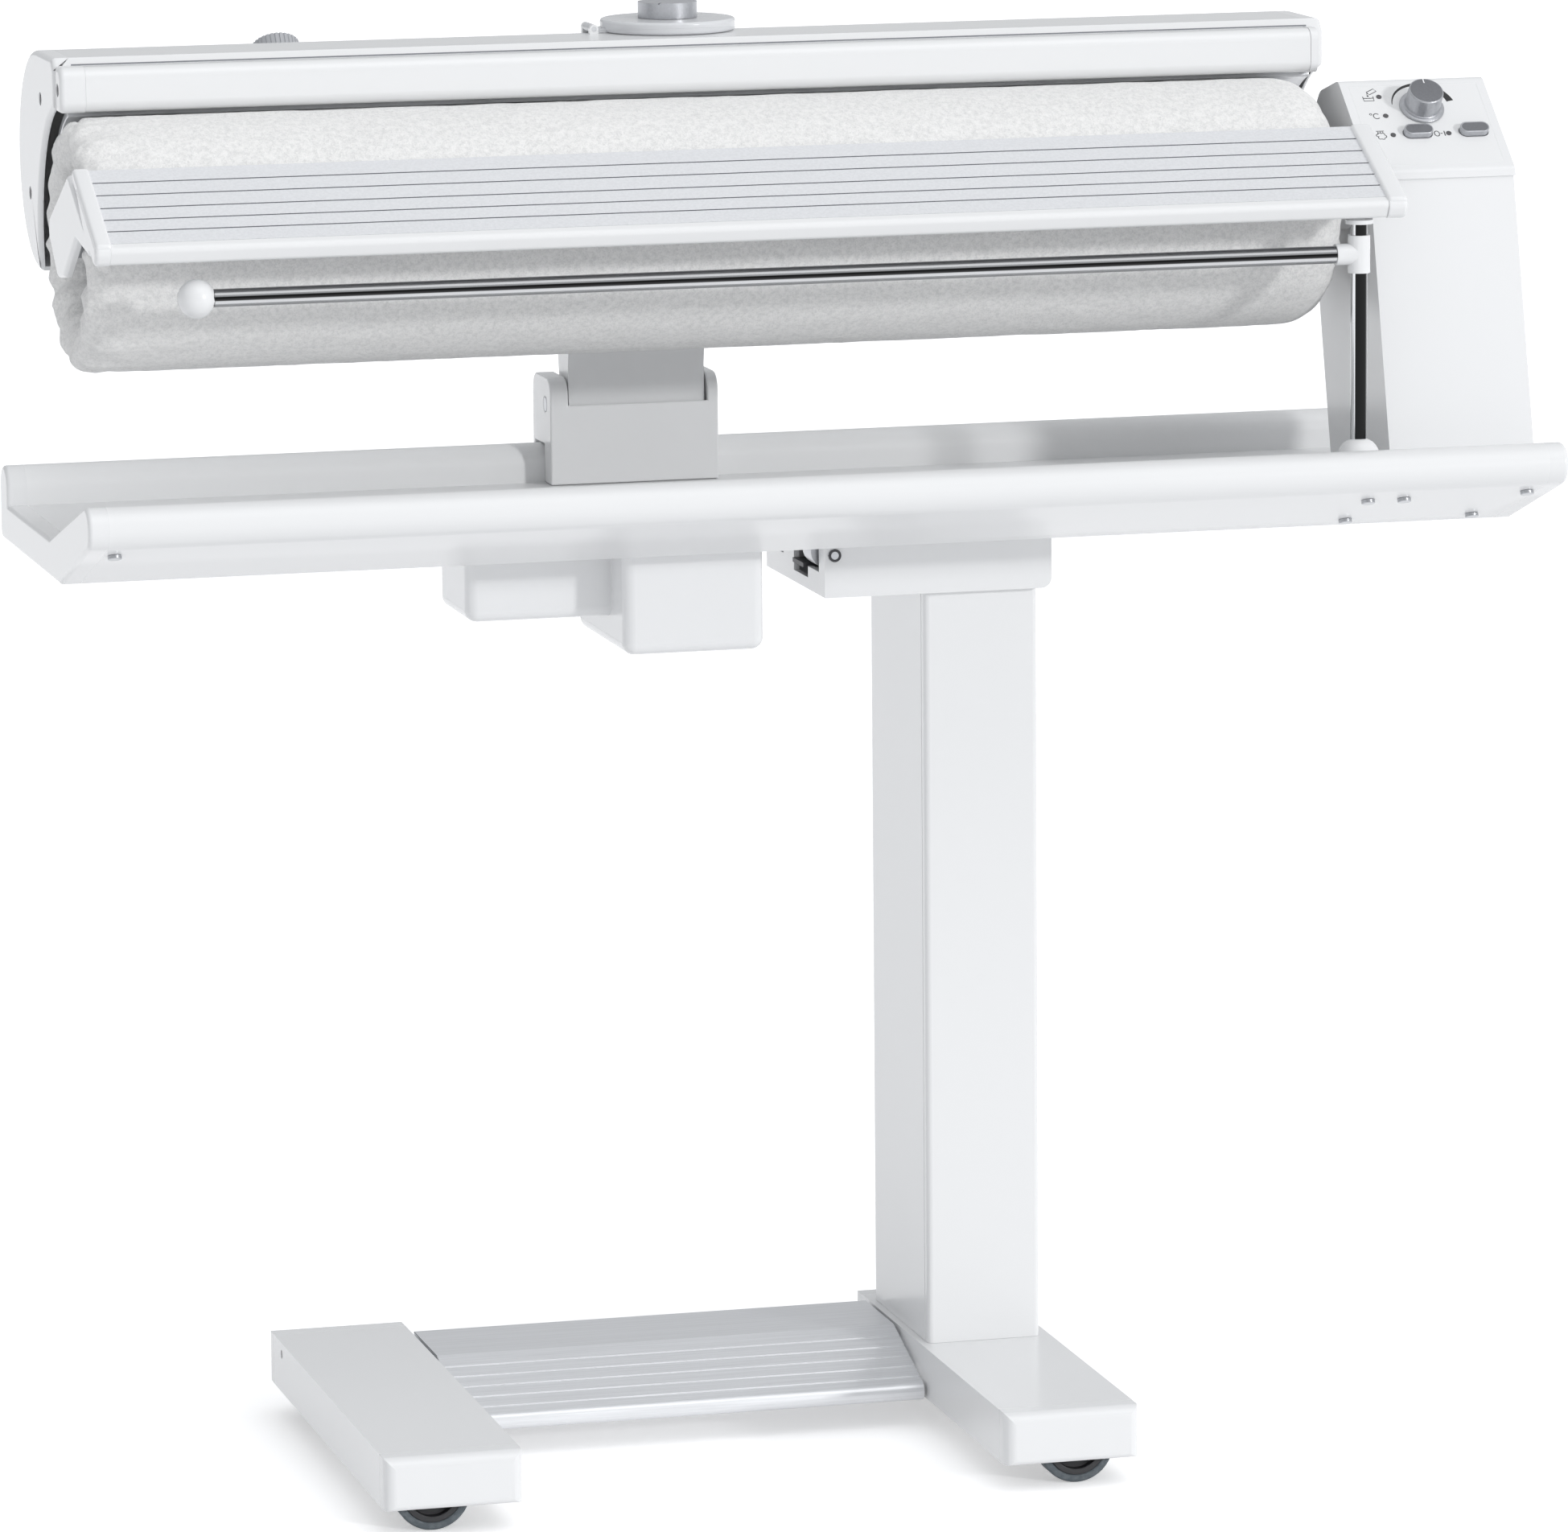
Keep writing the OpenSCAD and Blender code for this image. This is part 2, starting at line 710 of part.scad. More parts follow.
module tyre_front_left() { tyre(left_wheel_x, -wheel_y); }
module tyre_front_right() { tyre(right_wheel_x, -wheel_y); }
module tyre_back_left() { tyre(left_wheel_x, wheel_y); }
module tyre_back_right() { tyre(right_wheel_x, wheel_y); }
module hub_front_left() { hub(left_wheel_x, -wheel_y); }
module hub_front_right() { hub(right_wheel_x, -wheel_y); }
module hub_back_left() { hub(left_wheel_x, wheel_y); }
module hub_back_right() { hub(right_wheel_x, wheel_y); }

module cross_tube() {
    y0 = tube_y - tube_d / 2;
    left = left_foot_x + foot_w / 2;
    right = right_foot_x - foot_w / 2;
    color(steel) difference() {
        box([left, y0, tube_z], [right, y0 + tube_d, tube_z + tube_h]);
        box([left - over, y0 + foot_wall, tube_z + foot_wall],
            [right + over, y0 + tube_d - foot_wall, tube_z + tube_h - foot_wall]);
    }
}

// pedal
module pedal_rod() {
    reach = foot_w / 2 - 2 * foot_wall;
    color(steel) rod_x(left_foot_x + reach, right_foot_x - reach, pedal_pivot_y, pedal_pivot_z, pedal_rod_r);
}

module pedal_profile() {
    nose = [pedal_nose_y, pedal_nose_z];
    up = [-sin(pedal_slope), cos(pedal_slope)];
    fold = [pedal_fold_y, foot_top];
    bend = pedal_t * [tan(pedal_slope / 2), -1];
    polygon([
        nose + pedal_nose_r * up, fold, [pedal_back_y, foot_top], [pedal_back_y, foot_top - pedal_t],
        fold + bend, nose + (pedal_nose_r - pedal_t) * up
    ]);
}

module pedal_plate() {
    slope_len = (pedal_fold_y - pedal_nose_y) / cos(pedal_slope);
    spring_room = spring_wire_r * (2 * spring_turns + 4);
    color(silver) difference() {
        union() {
            along_x(pedal_left, pedal_right) pedal_profile();
            rod_x(pedal_left, pedal_right, pedal_nose_y, pedal_nose_z, pedal_nose_r);
            rod_x(pedal_left, pedal_right, pedal_pivot_y, pedal_pivot_z, pedal_boss_r);
        }
        rod_x(pedal_left - over, pedal_right + over, pedal_nose_y, pedal_nose_z, pedal_nose_r - pedal_t);
        rod_x(pedal_left - over, pedal_right + over, pedal_pivot_y, pedal_pivot_z, pedal_rod_r + run_fit);
        box([-spring_room / 2, pedal_pivot_y - 2 * pedal_boss_r, pedal_pivot_z - 2 * pedal_boss_r],
            [spring_room / 2, pedal_pivot_y + 2 * pedal_boss_r, foot_top - pedal_t]);
        for (s = pedal_groove_shares) translate([pedal_left - over, pedal_fold_y, foot_top])
            rotate([pedal_slope, 0, 0]) translate([0, -s * slope_len, -groove_d])
                cube([pedal_right - pedal_left + 2 * over, groove_w, 2 * groove_d]);
    }
}

module pedal_spring() {
    turn = 2 * spring_wire_r;
    half = spring_turns * turn / 2;
    lower_leg = pedal_pivot_y - tube_y - tube_d / 2 - seat;
    color(steel) union() {
        difference() {
            rod_x(-half, half, pedal_pivot_y, pedal_pivot_z, spring_r + spring_wire_r);
            rod_x(-half - over, half + over, pedal_pivot_y, pedal_pivot_z, spring_r - spring_wire_r);
            for (i = [1 : spring_turns - 1]) difference() {
                rod_x(i * turn - half - turn / 8, i * turn - half + turn / 8, pedal_pivot_y, pedal_pivot_z,
                    spring_r + turn);
                rod_x(-half, half, pedal_pivot_y, pedal_pivot_z, spring_r);
            }
        }
        translate([turn / 2 - half, pedal_pivot_y, pedal_pivot_z - spring_r]) rotate([90, 0, 0])
            cylinder(h = lower_leg, r = spring_wire_r * leg_wire_share);
        translate([half - turn / 2, pedal_pivot_y, pedal_pivot_z + spring_r])
            rotate([90 + pedal_slope / 2, 0, 0])
            cylinder(h = 2 * lower_leg, r = spring_wire_r * leg_wire_share);
    }
}

// column
module at_bolts() {
    in_x = column_w / 2 - column_wall - 2 * bolt_r;
    in_y = column_d / 2 - column_wall - 8 * bolt_r;
    for (i = [-1, 1], j = [-1, 1]) translate([column_x + i * in_x, column_y + j * in_y, 0]) children();
}

module bolt_holes(z0, z1) {
    at_bolts() translate([0, 0, z0]) cylinder(h = z1 - z0, r = bolt_r);
}

module column_pts(w, d, r) {
    translate([column_x, column_y]) polygon(rounded(box_pts([-w / 2, -d / 2], [w / 2, d / 2]), [r, r, r, r]));
}

module column() {
    boss_h = 8 * bolt_r;
    groove = [column_x - column_w / 2, column_y - column_d / 2];
    color(white) difference() {
        union() {
            difference() {
                translate([0, 0, foot_top]) linear_extrude(column_h) column_pts(column_w, column_d, column_r);
                translate([0, 0, foot_top - over]) linear_extrude(column_h + 2 * over)
                    column_pts(column_w - 2 * column_wall, column_d - 2 * column_wall,
                        column_r - column_wall / 2);
                translate([groove[0] - over, groove[1] + 2 * column_r, foot_top - over])
                    cube([over + groove_d, groove_w, column_h + 2 * over]);
            }
            for (z = [foot_top, column_top - boss_h]) at_bolts() translate([0, 0, z])
                cylinder(h = boss_h, r = 2 * bolt_r);
            for (z = [foot_top, column_top - boss_h], i = [-1, 1], j = [-1, 1])
                translate([column_x, column_y, z]) mirror([i < 0 ? 1 : 0, 0, 0]) mirror([0, j < 0 ? 1 : 0, 0])
                    translate([column_w / 2 - column_wall - bolt_r,
                        column_d / 2 - column_wall - 9 * bolt_r, 0])
                        cube([bolt_r + column_wall / 2, 2 * bolt_r, boss_h]);
        }
        bolt_holes(foot_top - over, foot_top + boss_h / 2);
        bolt_holes(column_top - boss_h / 2, column_top + over);
    }
}

module column_bolts() {
    shank = 4 * bolt_r;
    floor_top = column_top + bracket_wall;
    color(steel) at_bolts() {
        translate([0, 0, floor_top]) cylinder(h = bolt_head_h, r = bolt_head_r);
        translate([0, 0, column_top - shank]) cylinder(h = shank + bracket_wall + bolt_head_h / 2,
            r = bolt_r);
        translate([0, 0, channel_top - bolt_head_h]) cylinder(h = bolt_head_h, r = bolt_head_r);
        translate([0, 0, channel_top - bolt_head_h / 2])
            cylinder(h = shank + foot_wall + bolt_head_h / 2, r = bolt_r);
    }
}

// folding hinge
module bracket_outline() {
    right = bracket_x + bracket_w;
    end_a = 180 - acos(pin_in / bracket_clear_r);
    polygon(concat(
        rounded([[bracket_x, column_top], [right, column_top], [right, bracket_top]],
            [0, bracket_r, bracket_wall / 2]),
        arc([pin_x, pin_z], bracket_clear_r, 90, end_a, corner_steps)
    ));
}

module hinge_bracket() {
    back = bracket_y + bracket_d;
    in_x = bracket_x + bracket_wall;
    wall_cut = [bracket_x - over, in_x + over];
    color(white) difference() {
        along_y(bracket_y, back) bracket_outline();
        along_y(bracket_y + bracket_wall, back - bracket_wall)
            polygon(rounded(box_pts([in_x, column_top + bracket_wall],
                [bracket_x + bracket_w - bracket_wall, bracket_top + over]), [bracket_r / 2,
                    bracket_r / 2, 0, 0]));
        for (side = [-1, 1]) box(
            [wall_cut[0], bracket_mid_y + side * lug_y - lug_window_w / 2, pin_z - lug_r - bracket_wall / 2],
            [wall_cut[1], bracket_mid_y + side * lug_y + lug_window_w / 2, bracket_top + over]);
        box([wall_cut[0], latch_y - latch_window_share * latch_w, column_top + 2 * bracket_wall],
            [wall_cut[1], latch_y + latch_window_share * latch_w, bracket_top + over]);
        rod_y(bracket_y - over, back + over, pin_x, pin_z, pin_r);
        rod_y(bracket_y + bracket_wall / 2, back + over, latch_x, latch_z, latch_shaft_r + run_fit);
        bolt_holes(column_top - over, column_top + 2 * bracket_wall);
    }
}

module hinge_pin() {
    stub = pin_r / 3;
    color(steel) rod_y(bracket_y - stub, bracket_y + bracket_d + stub, pin_x, pin_z, pin_r);
}

module rest_buffers() {
    low = column_top + bracket_wall;
    x = bracket_x + bracket_w - 5 * bracket_wall;
    color(dark) for (side = [-1, 1]) translate([x, bracket_mid_y + side * lug_y * buffer_share, low])
        cylinder(h = tray_z - hinge_plate_t - seat - low, r = buffer_r);
}

module latch_lever() {
    tab_in = bracket_x - bracket_wall / 2;
    pawl_top = tray_z - hinge_plate_t - seat;
    y0 = latch_y - latch_w / 2;
    color(dark) union() {
        rod_y(bracket_y + 3 * bracket_wall / 4, bracket_y + bracket_d - bracket_wall / 4, latch_x, latch_z,
            latch_shaft_r);
        box([tab_in, y0, latch_z - latch_t / 2], [latch_x, y0 + latch_w, latch_z + latch_t / 2]);
        box([latch_x, y0, latch_z - latch_t / 2], [latch_x + latch_shaft_r, y0 + latch_w, pawl_top]);
    }
}

module lug(y) {
    tip = [pin_x, pin_z] + polar(lug_r, -50);
    crest = [pin_x, pin_z] + polar(lug_r, 110);
    difference() {
        union() {
            rod_y(y - lug_w / 2, y + lug_w / 2, pin_x, pin_z, lug_r);
            along_y(y - lug_w / 2, y + lug_w / 2) polygon([
                [pin_x, pin_z], tip, [hinge_plate_x + pin_to_tray, tray_z - hinge_plate_t],
                [hinge_plate_x + pin_to_tray, tray_z], [hinge_plate_x, tray_z], crest
            ]);
        }
        rod_y(y - lug_w, y + lug_w, pin_x, pin_z, pin_r + run_fit);
    }
}

module hinge_plate() {
    y0 = bracket_y + bracket_wall + 3 * seat;
    y1 = bracket_y + bracket_d - bracket_wall - 3 * seat;
    color(steel) difference() {
        union() {
            box([hinge_plate_x, y0, tray_z - hinge_plate_t],
                [hinge_plate_end - 3 * seat, min(y1, tray_back_y), tray_z]);
            for (side = [-1, 1]) lug(bracket_mid_y + side * lug_y);
        }
        at_hinge_screws() translate([0, 0, tray_z - hinge_plate_t - over])
            cylinder(h = hinge_plate_t + 2 * over, r = screw_r);
    }
}

module at_hinge_screws() {
    for (x = [hinge_plate_x + 3 * pin_to_tray / 2, hinge_plate_end - pin_to_tray / 2], side = [-1, 0, 1])
        translate([x, bracket_mid_y + side * lug_y / 2, 0]) children();
}

// tray
function tray_pts() = concat(
    [[under_end_y, tray_z]],
    corner([tray_back_y, tray_z], [under_end_y, tray_z], back_rail_c + [rail_r, 0], rail_r / 2),
    arc(back_rail_c, rail_r, 0, 180, 2 * corner_steps),
    [[tray_back_y - 2 * rail_r, floor_z], [slope_end_y, floor_z]],
    arc(front_rail_c, rail_r, 90 - tray_slope, 270 - tray_under_slope, 2 * corner_steps)
);

module at_tray_screws() {
    slope_at = [0.055, 0.075, 0.26];
    for (s = tray_screw_shares) {
        y = tray_front_y + slope_at[s[1]] * (tray_back_y - tray_front_y) + rail_r / 2;
        z = tray_z + tan(tray_under_slope) * (under_end_y - y);
        translate([s[0] * tray_end, y, z]) rotate([180 - tray_under_slope, 0, 0]) children();
    }
}

module tray() {
    color(white) difference() {
        along_x(-tray_end, tray_end) polygon(tray_pts());
        difference() {
            along_x(-tray_end - over, tray_end + over) polygon(inset(tray_pts(), tray_wall));
            for (y = web_y) box([-tray_end, y - tray_wall / 2, tray_z],
                [tray_end, y + tray_wall / 2, tray_z + front_rail_h]);
        }
        at_tray_screws() translate([0, 0, -3 * screw_head_h]) cylinder(h = 4 * screw_head_h, r = screw_r);
        at_hinge_screws() translate([0, 0, tray_z - over])
            cylinder(h = over + screw_grip_share * tray_wall, r = screw_r);
        translate([post_x, post_y, post_foot_z - 2 * tray_wall])
            cylinder(h = 4 * tray_wall, r = post_r + seat);
    }
}

module tray_caps() {
    color(white) for (side = [-1, 1]) mirror([side < 0 ? 1 : 0, 0, 0]) difference() {
        union() {
            along_x(tray_end, tray_end + tray_cap_w) polygon(tray_pts());
            along_x(tray_end - tray_cap_w, tray_end)
                intersection() {
                    polygon(inset(tray_pts(), tray_wall));
                    polygon(box_pts([tray_front_y, tray_z], [web_y[0] - tray_wall / 2,
                        tray_z + 2 * front_rail_h]));
                }
        }
        along_x(tray_end - tray_cap_w - over, tray_end + tray_cap_w - 2 * tray_wall) intersection() {
            polygon(inset(tray_pts(), 2 * tray_wall));
            polygon(box_pts([tray_front_y, tray_z], [web_y[0] - tray_wall, tray_z + 2 * front_rail_h]));
        }
        along_x(tray_end - over, tray_end + tray_cap_w - 2 * tray_wall) difference() {
            polygon(inset(tray_pts(), 2 * tray_wall));
            polygon(box_pts([tray_front_y, tray_z], [web_y[0], tray_z + 2 * front_rail_h]));
        }
        at_tray_screws() translate([0, 0, -3 * screw_head_h]) cylinder(h = 4 * screw_head_h, r = screw_r);
    }
}

module tray_screws() {
    color(steel) {
        at_tray_screws() {
            cylinder(h = screw_head_h, r = screw_head_r);
            translate([0, 0, -2 * screw_head_h]) cylinder(h = 3 * screw_head_h, r = screw_r);
        }
        at_hinge_screws() {
            translate([0, 0, tray_z - hinge_plate_t - screw_head_h])
                cylinder(h = screw_head_h, r = screw_head_r);
            translate([0, 0, tray_z - hinge_plate_t - screw_head_h / 2])
                cylinder(h = hinge_plate_t + screw_head_h / 2 + tray_wall, r = screw_r);
        }
    }
}

module under_box() {
    left = box_x - box_w / 2;
    back = box_y + box_d;
    inner = box_pts([box_y + box_wall, tray_z - box_h + box_wall], [back - box_wall, tray_z + over]);
    side_left = left - side_box_w;
    side_front = box_y + side_box_shares[0] * box_d;
    side_back = back - side_box_shares[1] * box_d;
    color(white) difference() {
        union() {
            along_x(left, left + box_w)
                polygon(rounded(box_pts([box_y, tray_z - box_h], [back, tray_z]), [box_r, box_r, 0, 0]));
            along_x(side_left, left + box_wall)
                polygon(rounded(box_pts([side_front, tray_z - side_box_h], [side_back, tray_z]), [box_r,
                    box_r, 0, 0]));
        }
        along_x(left + box_wall, left + box_w - box_wall) polygon(rounded(inner, [box_r, box_r, 0, 0]));
        along_x(side_left + box_wall, left)
            polygon(rounded(box_pts([side_front + box_wall, tray_z - side_box_h + box_wall],
                [side_back - box_wall, tray_z + over]), [box_r, box_r, 0, 0]));
    }
}

// tower
function tower_raw() = concat(
    [[tower_front_y + tower_back_foot * tower_d, tower_low_z], [slope_end_y, tower_low_z],
        [tower_front_y, tower_low_z + tower_foot_rise]],
    tower_pts
);
function tower_order() = let (p = tower_raw()) [p[2], p[1], p[0], p[6], p[5], p[4], p[3]];
function tower_outline(t) =
    let (r = tower_radii)
    rounded(t > 0 ? inset(tower_order(), t) : tower_order(),
        [for (v = [0, 0, 0, r[3], r[2], r[1], r[0]]) max(0, v - t / 2)]);

module on_panel() {
    translate([tower_x, tower_pts[0][0], tower_pts[0][1]]) rotate([panel_a, 0, 0]) children();
}

module at_panel(p) {
    on_panel() translate([p[0], p[1], 0]) children();
}

module pill(l, w, h) {
    straight = l - w;
    translate([-straight / 2, -w / 2, 0]) cube([straight, w, h]);
    for (side = [-1, 1]) translate([side * straight / 2, 0, 0]) cylinder(h = h, r = w / 2);
}

module panel_holes(depth) {
    for (p = [power_button_at, steam_button_at]) at_panel(p) translate([0, 0, -depth])
        pill(button_l + 2 * play, button_w + 2 * play, 2 * depth);
    at_panel(knob_at) translate([0, 0, -depth]) cylinder(h = 2 * depth, r = knob_r / 3 + play);
    for (p = lamps_at) at_panel(p) translate([0, 0, -depth]) cylinder(h = 2 * depth, r = lamp_r);
}

module tower_housing() {
    color(white) difference() {
        along_x(tower_x, tower_x + tower_w) polygon(tower_outline(0));
        along_x(tower_x + tower_wall, tower_x + tower_w - tower_wall) polygon(tower_outline(tower_wall));
        box([tower_x + tower_wall, tower_front_y + 2 * tower_wall, floor_z - over],
            [tower_x + tower_w - tower_wall, tower_front_y + tower_back_foot * tower_d - 2 * tower_wall,
                tower_low_z + tower_foot_rise]);
        on_panel() translate([panel_margin, panel_margin, -panel_t])
            cube([tower_w - 2 * panel_margin, panel_len - 2 * panel_margin, 2 * panel_t]);
        panel_holes(3 * tower_wall);
        rod_x(tower_x - over, tower_x + 2 * tower_wall, roller_y, roller_z, shaft_r + play);
        below_cover();
    }
}

// the front and right side are set back a little under the top cover
module below_cover() {
    difference() {
        box([tower_x - over, tower_front_y - over, tower_low_z - over],
            [tower_x + tower_w + over, tower_front_y + tower_d + over, cover_seam_z]);
        along_x(tower_x - 2 * over, tower_x + tower_w - cover_step)
            translate([cover_step, -cover_step]) polygon(tower_outline(0));
    }
}

module control_panel() {
    color(white) difference() {
        on_panel() translate([panel_margin, panel_margin, -panel_t])
            cube([tower_w - 2 * panel_margin, panel_len - 2 * panel_margin, panel_t]);
        panel_holes(3 * tower_wall);
    }
}

module indicator_lamps() {
    color(dark) for (p = lamps_at) at_panel(p) translate([0, 0, -tower_wall])
        cylinder(h = tower_wall + lamp_r / 4, r = lamp_r);
}

module button(p) {
    color(silver) at_panel(p) union() {
        translate([0, 0, -button_stem]) pill(button_l, button_w, button_stem + button_h);
        translate([0, 0, -button_stem - 2 * tower_wall])
            cylinder(h = button_pin_share * tower_wall, r = button_w / 4);
    }
}

module power_button() { button(power_button_at); }
module steam_button() { button(steam_button_at); }

module temperature_knob() {
    spindle = knob_r / 3;
    color(dark) at_panel(knob_at) difference() {
        union() {
            translate([0, 0, seat]) cylinder(h = knob_h / 8, r = knob_skirt_r);
            translate([0, 0, seat]) cylinder(h = knob_h, r = knob_r);
            translate([0, 0, -4 * tower_wall]) cylinder(h = 4 * tower_wall + knob_h / 2, r = spindle);
        }
        translate([-groove_w / 2, knob_r / 2, knob_h + seat - groove_d])
            cube([groove_w, knob_r, 2 * groove_d]);
    }
}

module frame_plate(x) {
    base = tower_order();
    mount = 2 * gear_module * pinion_teeth;
    difference() {
        union() {
            rod_x(x, x + tower_wall, roller_y, roller_z, 2 * shaft_r);
            along_x(x, x + tower_wall) polygon([
                [base[1][0] - mount / 2, tower_low_z + tan(tray_slope) * mount / 2],
                [base[1][0], tower_low_z], [base[2][0] - 3 * tower_wall, tower_low_z],
                [roller_y + mount, motor_z], [roller_y + 2 * shaft_r, roller_z],
                [roller_y - 2 * shaft_r, roller_z], [roller_y - mount, motor_z]
            ]);
        }
        rod_x(x - over, x + 2 * tower_wall, roller_y, roller_z, shaft_r + run_fit);
        rod_x(x - over, x + 2 * tower_wall, roller_y, motor_z, shaft_r / 2 + run_fit);
    }
}

module tower_frame() {
    base = tower_order();
    color(steel) union() {
        frame_plate(frame_left_x);
        frame_plate(frame_right_x);
        box([frame_left_x, base[1][0], tower_low_z],
            [frame_right_x + tower_wall, base[2][0] - 3 * tower_wall, tower_low_z + tower_wall]);
        for (z = [motor_z - gear_distance, motor_z - 2 * gear_distance])
            rod_x(frame_left_x, frame_right_x + tower_wall, roller_y, z, tower_wall);
    }
}

module gear_motor() {
    start = frame_right_x + tower_wall;
    room = tower_x + tower_w - tower_wall - start;
    motor_r = motor_share * gear_distance;
    color(steel) difference() {
        union() {
            box([start, roller_y - motor_foot_shares[0] * motor_r, motor_z - motor_foot_shares[1] * motor_r],
                [start + room / 3, roller_y + motor_foot_shares[0] * motor_r, motor_z + motor_r / 2]);
            rod_x(start, start + motor_len_share * room, roller_y, motor_z - motor_r / 2,
                motor_len_share * motor_r);
        }
        rod_x(start - over, start + room / 4, roller_y, motor_z, shaft_r / 2 + run_fit);
    }
}

// gears drawn with straight-sided teeth, narrowed a little so that they turn freely
module toothed(teeth, phase) {
    pitch_r = gear_module * teeth / 2;
    step = 360 / teeth;
    tip = pitch_r + tooth_shares[0] * gear_module;
    root = pitch_r - tooth_shares[1] * gear_module;
    shares = [[root, -0.3], [root, -0.27], [tip, -0.1], [tip, 0.1], [root, 0.27]];
    polygon([for (i = [0 : teeth - 1], s = shares) polar(s[0], phase + (i + s[1]) * step)]);
}

module roller_gear() {
    color(steel) difference() {
        translate([0, roller_y, roller_z]) along_x(gear_x, gear_x + gear_w)
            toothed(gear_teeth, 180 / gear_teeth);
        rod_x(gear_x - over, gear_x + gear_w + over, roller_y, roller_z, shaft_r);
    }
}

module motor_pinion() {
    color(steel) union() {
        translate([0, roller_y, motor_z]) along_x(gear_x, gear_x + gear_w) toothed(pinion_teeth, 90);
        rod_x(frame_left_x + tower_wall / 4, frame_right_x + 2 * tower_wall, roller_y, motor_z, shaft_r / 2);
    }
}

// roller
module roller_drum() {
    left = roller_left_x + felt_t / 2;
    right = roller_right_x - felt_t / 2;
    hollow = [left + end_hollow - felt_t / 2, right - end_hollow + felt_t / 2];
    color(silver) union() {
        difference() {
            rod_x(left, right, roller_y, roller_z, drum_r);
            rod_x(left - over, right + over, roller_y, roller_z, drum_r - drum_wall);
        }
        for (x = [hollow[0], hollow[1] - drum_wall]) difference() {
            rod_x(x, x + drum_wall, roller_y, roller_z, drum_r - drum_wall / 2);
            rod_x(x - over, x + 2 * drum_wall, roller_y, roller_z, shaft_r);
        }
    }
}

function shoulder(z, len, a0, a1) = [for (i = [0 : corner_steps])
    let (a = a0 + (a1 - a0) * i / corner_steps)
    [drum_r + felt_t * cos(a), z + len * sin(a)]];

module roller_felt() {
    color(felt_white) translate([0, roller_y, roller_z]) rotate([0, 90, 0]) rotate_extrude() polygon(concat(
        shoulder(roller_right_x - felt_r_right, felt_r_right, 90, 0),
        shoulder(roller_left_x + felt_r_left, felt_r_left, 0, -90)
    ));
}

module roller_shaft() {
    color(steel) rod_x(plate_left_x - cap_leg_t, shaft_end_x, roller_y, roller_z, shaft_r);
}

// feed plate
module plate_section(pts, x0, x1) {
    along_x(x0, x1) translate([plate_y, plate_z]) rotate(180 + plate_slope) polygon(pts);
}

module feed_plate() {
    box_start = plate_len - plate_box_len;
    skin = plate_t * plate_skin_share;
    color(silver) difference() {
        plate_section([[0, 0], [plate_len, 0], [plate_len, nose_h], [box_start, nose_h], [box_start, plate_t],
            [0, plate_t]], plate_left_x, plate_right_x);
        plate_section(box_pts([box_start + skin, plate_t], [plate_len - skin, nose_h - skin]),
            plate_left_x - over, plate_right_x + over);
        for (s = plate_groove_shares) plate_section(
            box_pts([s * plate_len, -groove_d], [s * plate_len + groove_w, groove_d]),
            plate_left_x - over, plate_right_x + over);
    }
}

module feed_nose() {
    r = nose_h * nose_round_share;
    color(white) plate_section(rounded(box_pts([plate_len, 0], [plate_len + nose_len, nose_h]), [0, r, r, 0]),
        plate_left_x, plate_right_x);
}

// outline of the leg round the roller shaft, as shares of the roller radius from the roller axis
leg_shares = [[-0.62, 0.63], [-1.758, 0.033], [-0.908, 0.152], [-0.358, -0.206], [-0.072, -0.241],
    [0.382, 0.141]];
leg_radii_shares = [0.1, 0.05, 0.04, 0.06, 0.12, 0.12];

module plate_cap(x0, x1, leg0, leg1) {
    r = nose_h * nose_round_share;
    lip = plate_t / 3;
    reach = plate_len + nose_len + lip;
    plate_section(rounded([[-lip, -lip], [reach, -lip], [reach, nose_h + lip],
        [cap_heel_share * plate_len, nose_h + lip]],
        [plate_t, r, r, 0]), x0, x1);
    along_x(leg0, leg1) translate([roller_y, roller_z])
        polygon(rounded(roller_r * leg_shares, roller_r * leg_radii_shares));
    rod_x(leg0, leg1, roller_y, roller_z, shaft_r * leg_boss_share);
}

module plate_caps() {
    left = plate_left_x - plate_cap_t;
    right = plate_right_x + right_cap_t;
    color(white) difference() {
        union() {
            plate_cap(left, plate_left_x, left, left + cap_leg_t);
            plate_cap(plate_right_x, right, plate_right_x, right);
        }
        rod_x(left + cap_leg_t / 3, left + 2 * cap_leg_t, roller_y, roller_z, shaft_r + run_fit);
        rod_x(plate_right_x - over, right + over, roller_y, roller_z, shaft_r + run_fit);
    }
}

// laundry rail
module rail_post() {
    color(chrome) translate([post_x, post_y, post_foot_z - tray_wall])
        cylinder(h = post_top - post_foot_z + tray_wall, r = post_r);
}

module post_fittings() {
    dome_r = dome_shares[0] * post_r;
    dome_h = dome_shares[1] * post_r;
    color(white) difference() {
        union() {
            translate([post_x, post_y, post_foot_z + seat]) rotate([-tray_slope, 0, 0]) rotate_extrude()
                polygon(concat([[0, 0]], arc([dome_r / 2, 0], dome_r / 2, 0, 0, 1),
                    arc([dome_r - dome_h, 0], dome_h, 0, 90, corner_steps), [[0, dome_h]]));
            translate([post_x, post_y, collar_top - ring_h])
                cylinder(h = ring_h, r = collar_ring_shares[0] * post_r);
        }
        translate([post_x, post_y, post_foot_z - dome_r])
            cylinder(h = post_top - post_foot_z + dome_r, r = post_r);
    }
}

module bar_fittings() {
    end_x = post_x - bar_len;
    color(white) difference() {
        union() {
            translate([post_x, post_y, bar_z - tee_h / 2]) cylinder(h = tee_h, r = tee_r);
            rod_x(post_x - socket_len, post_x, post_y, bar_z, bar_r * (1 + socket_wall_share));
            translate([end_x, post_y, bar_z]) sphere(r = ball_r);
        }
        translate([post_x, post_y, bar_z - tee_h]) cylinder(h = 2 * tee_h, r = post_r + run_fit);
        rod_x(end_x, post_x - post_r - bar_r / 4, post_y, bar_z, bar_r);
    }
}

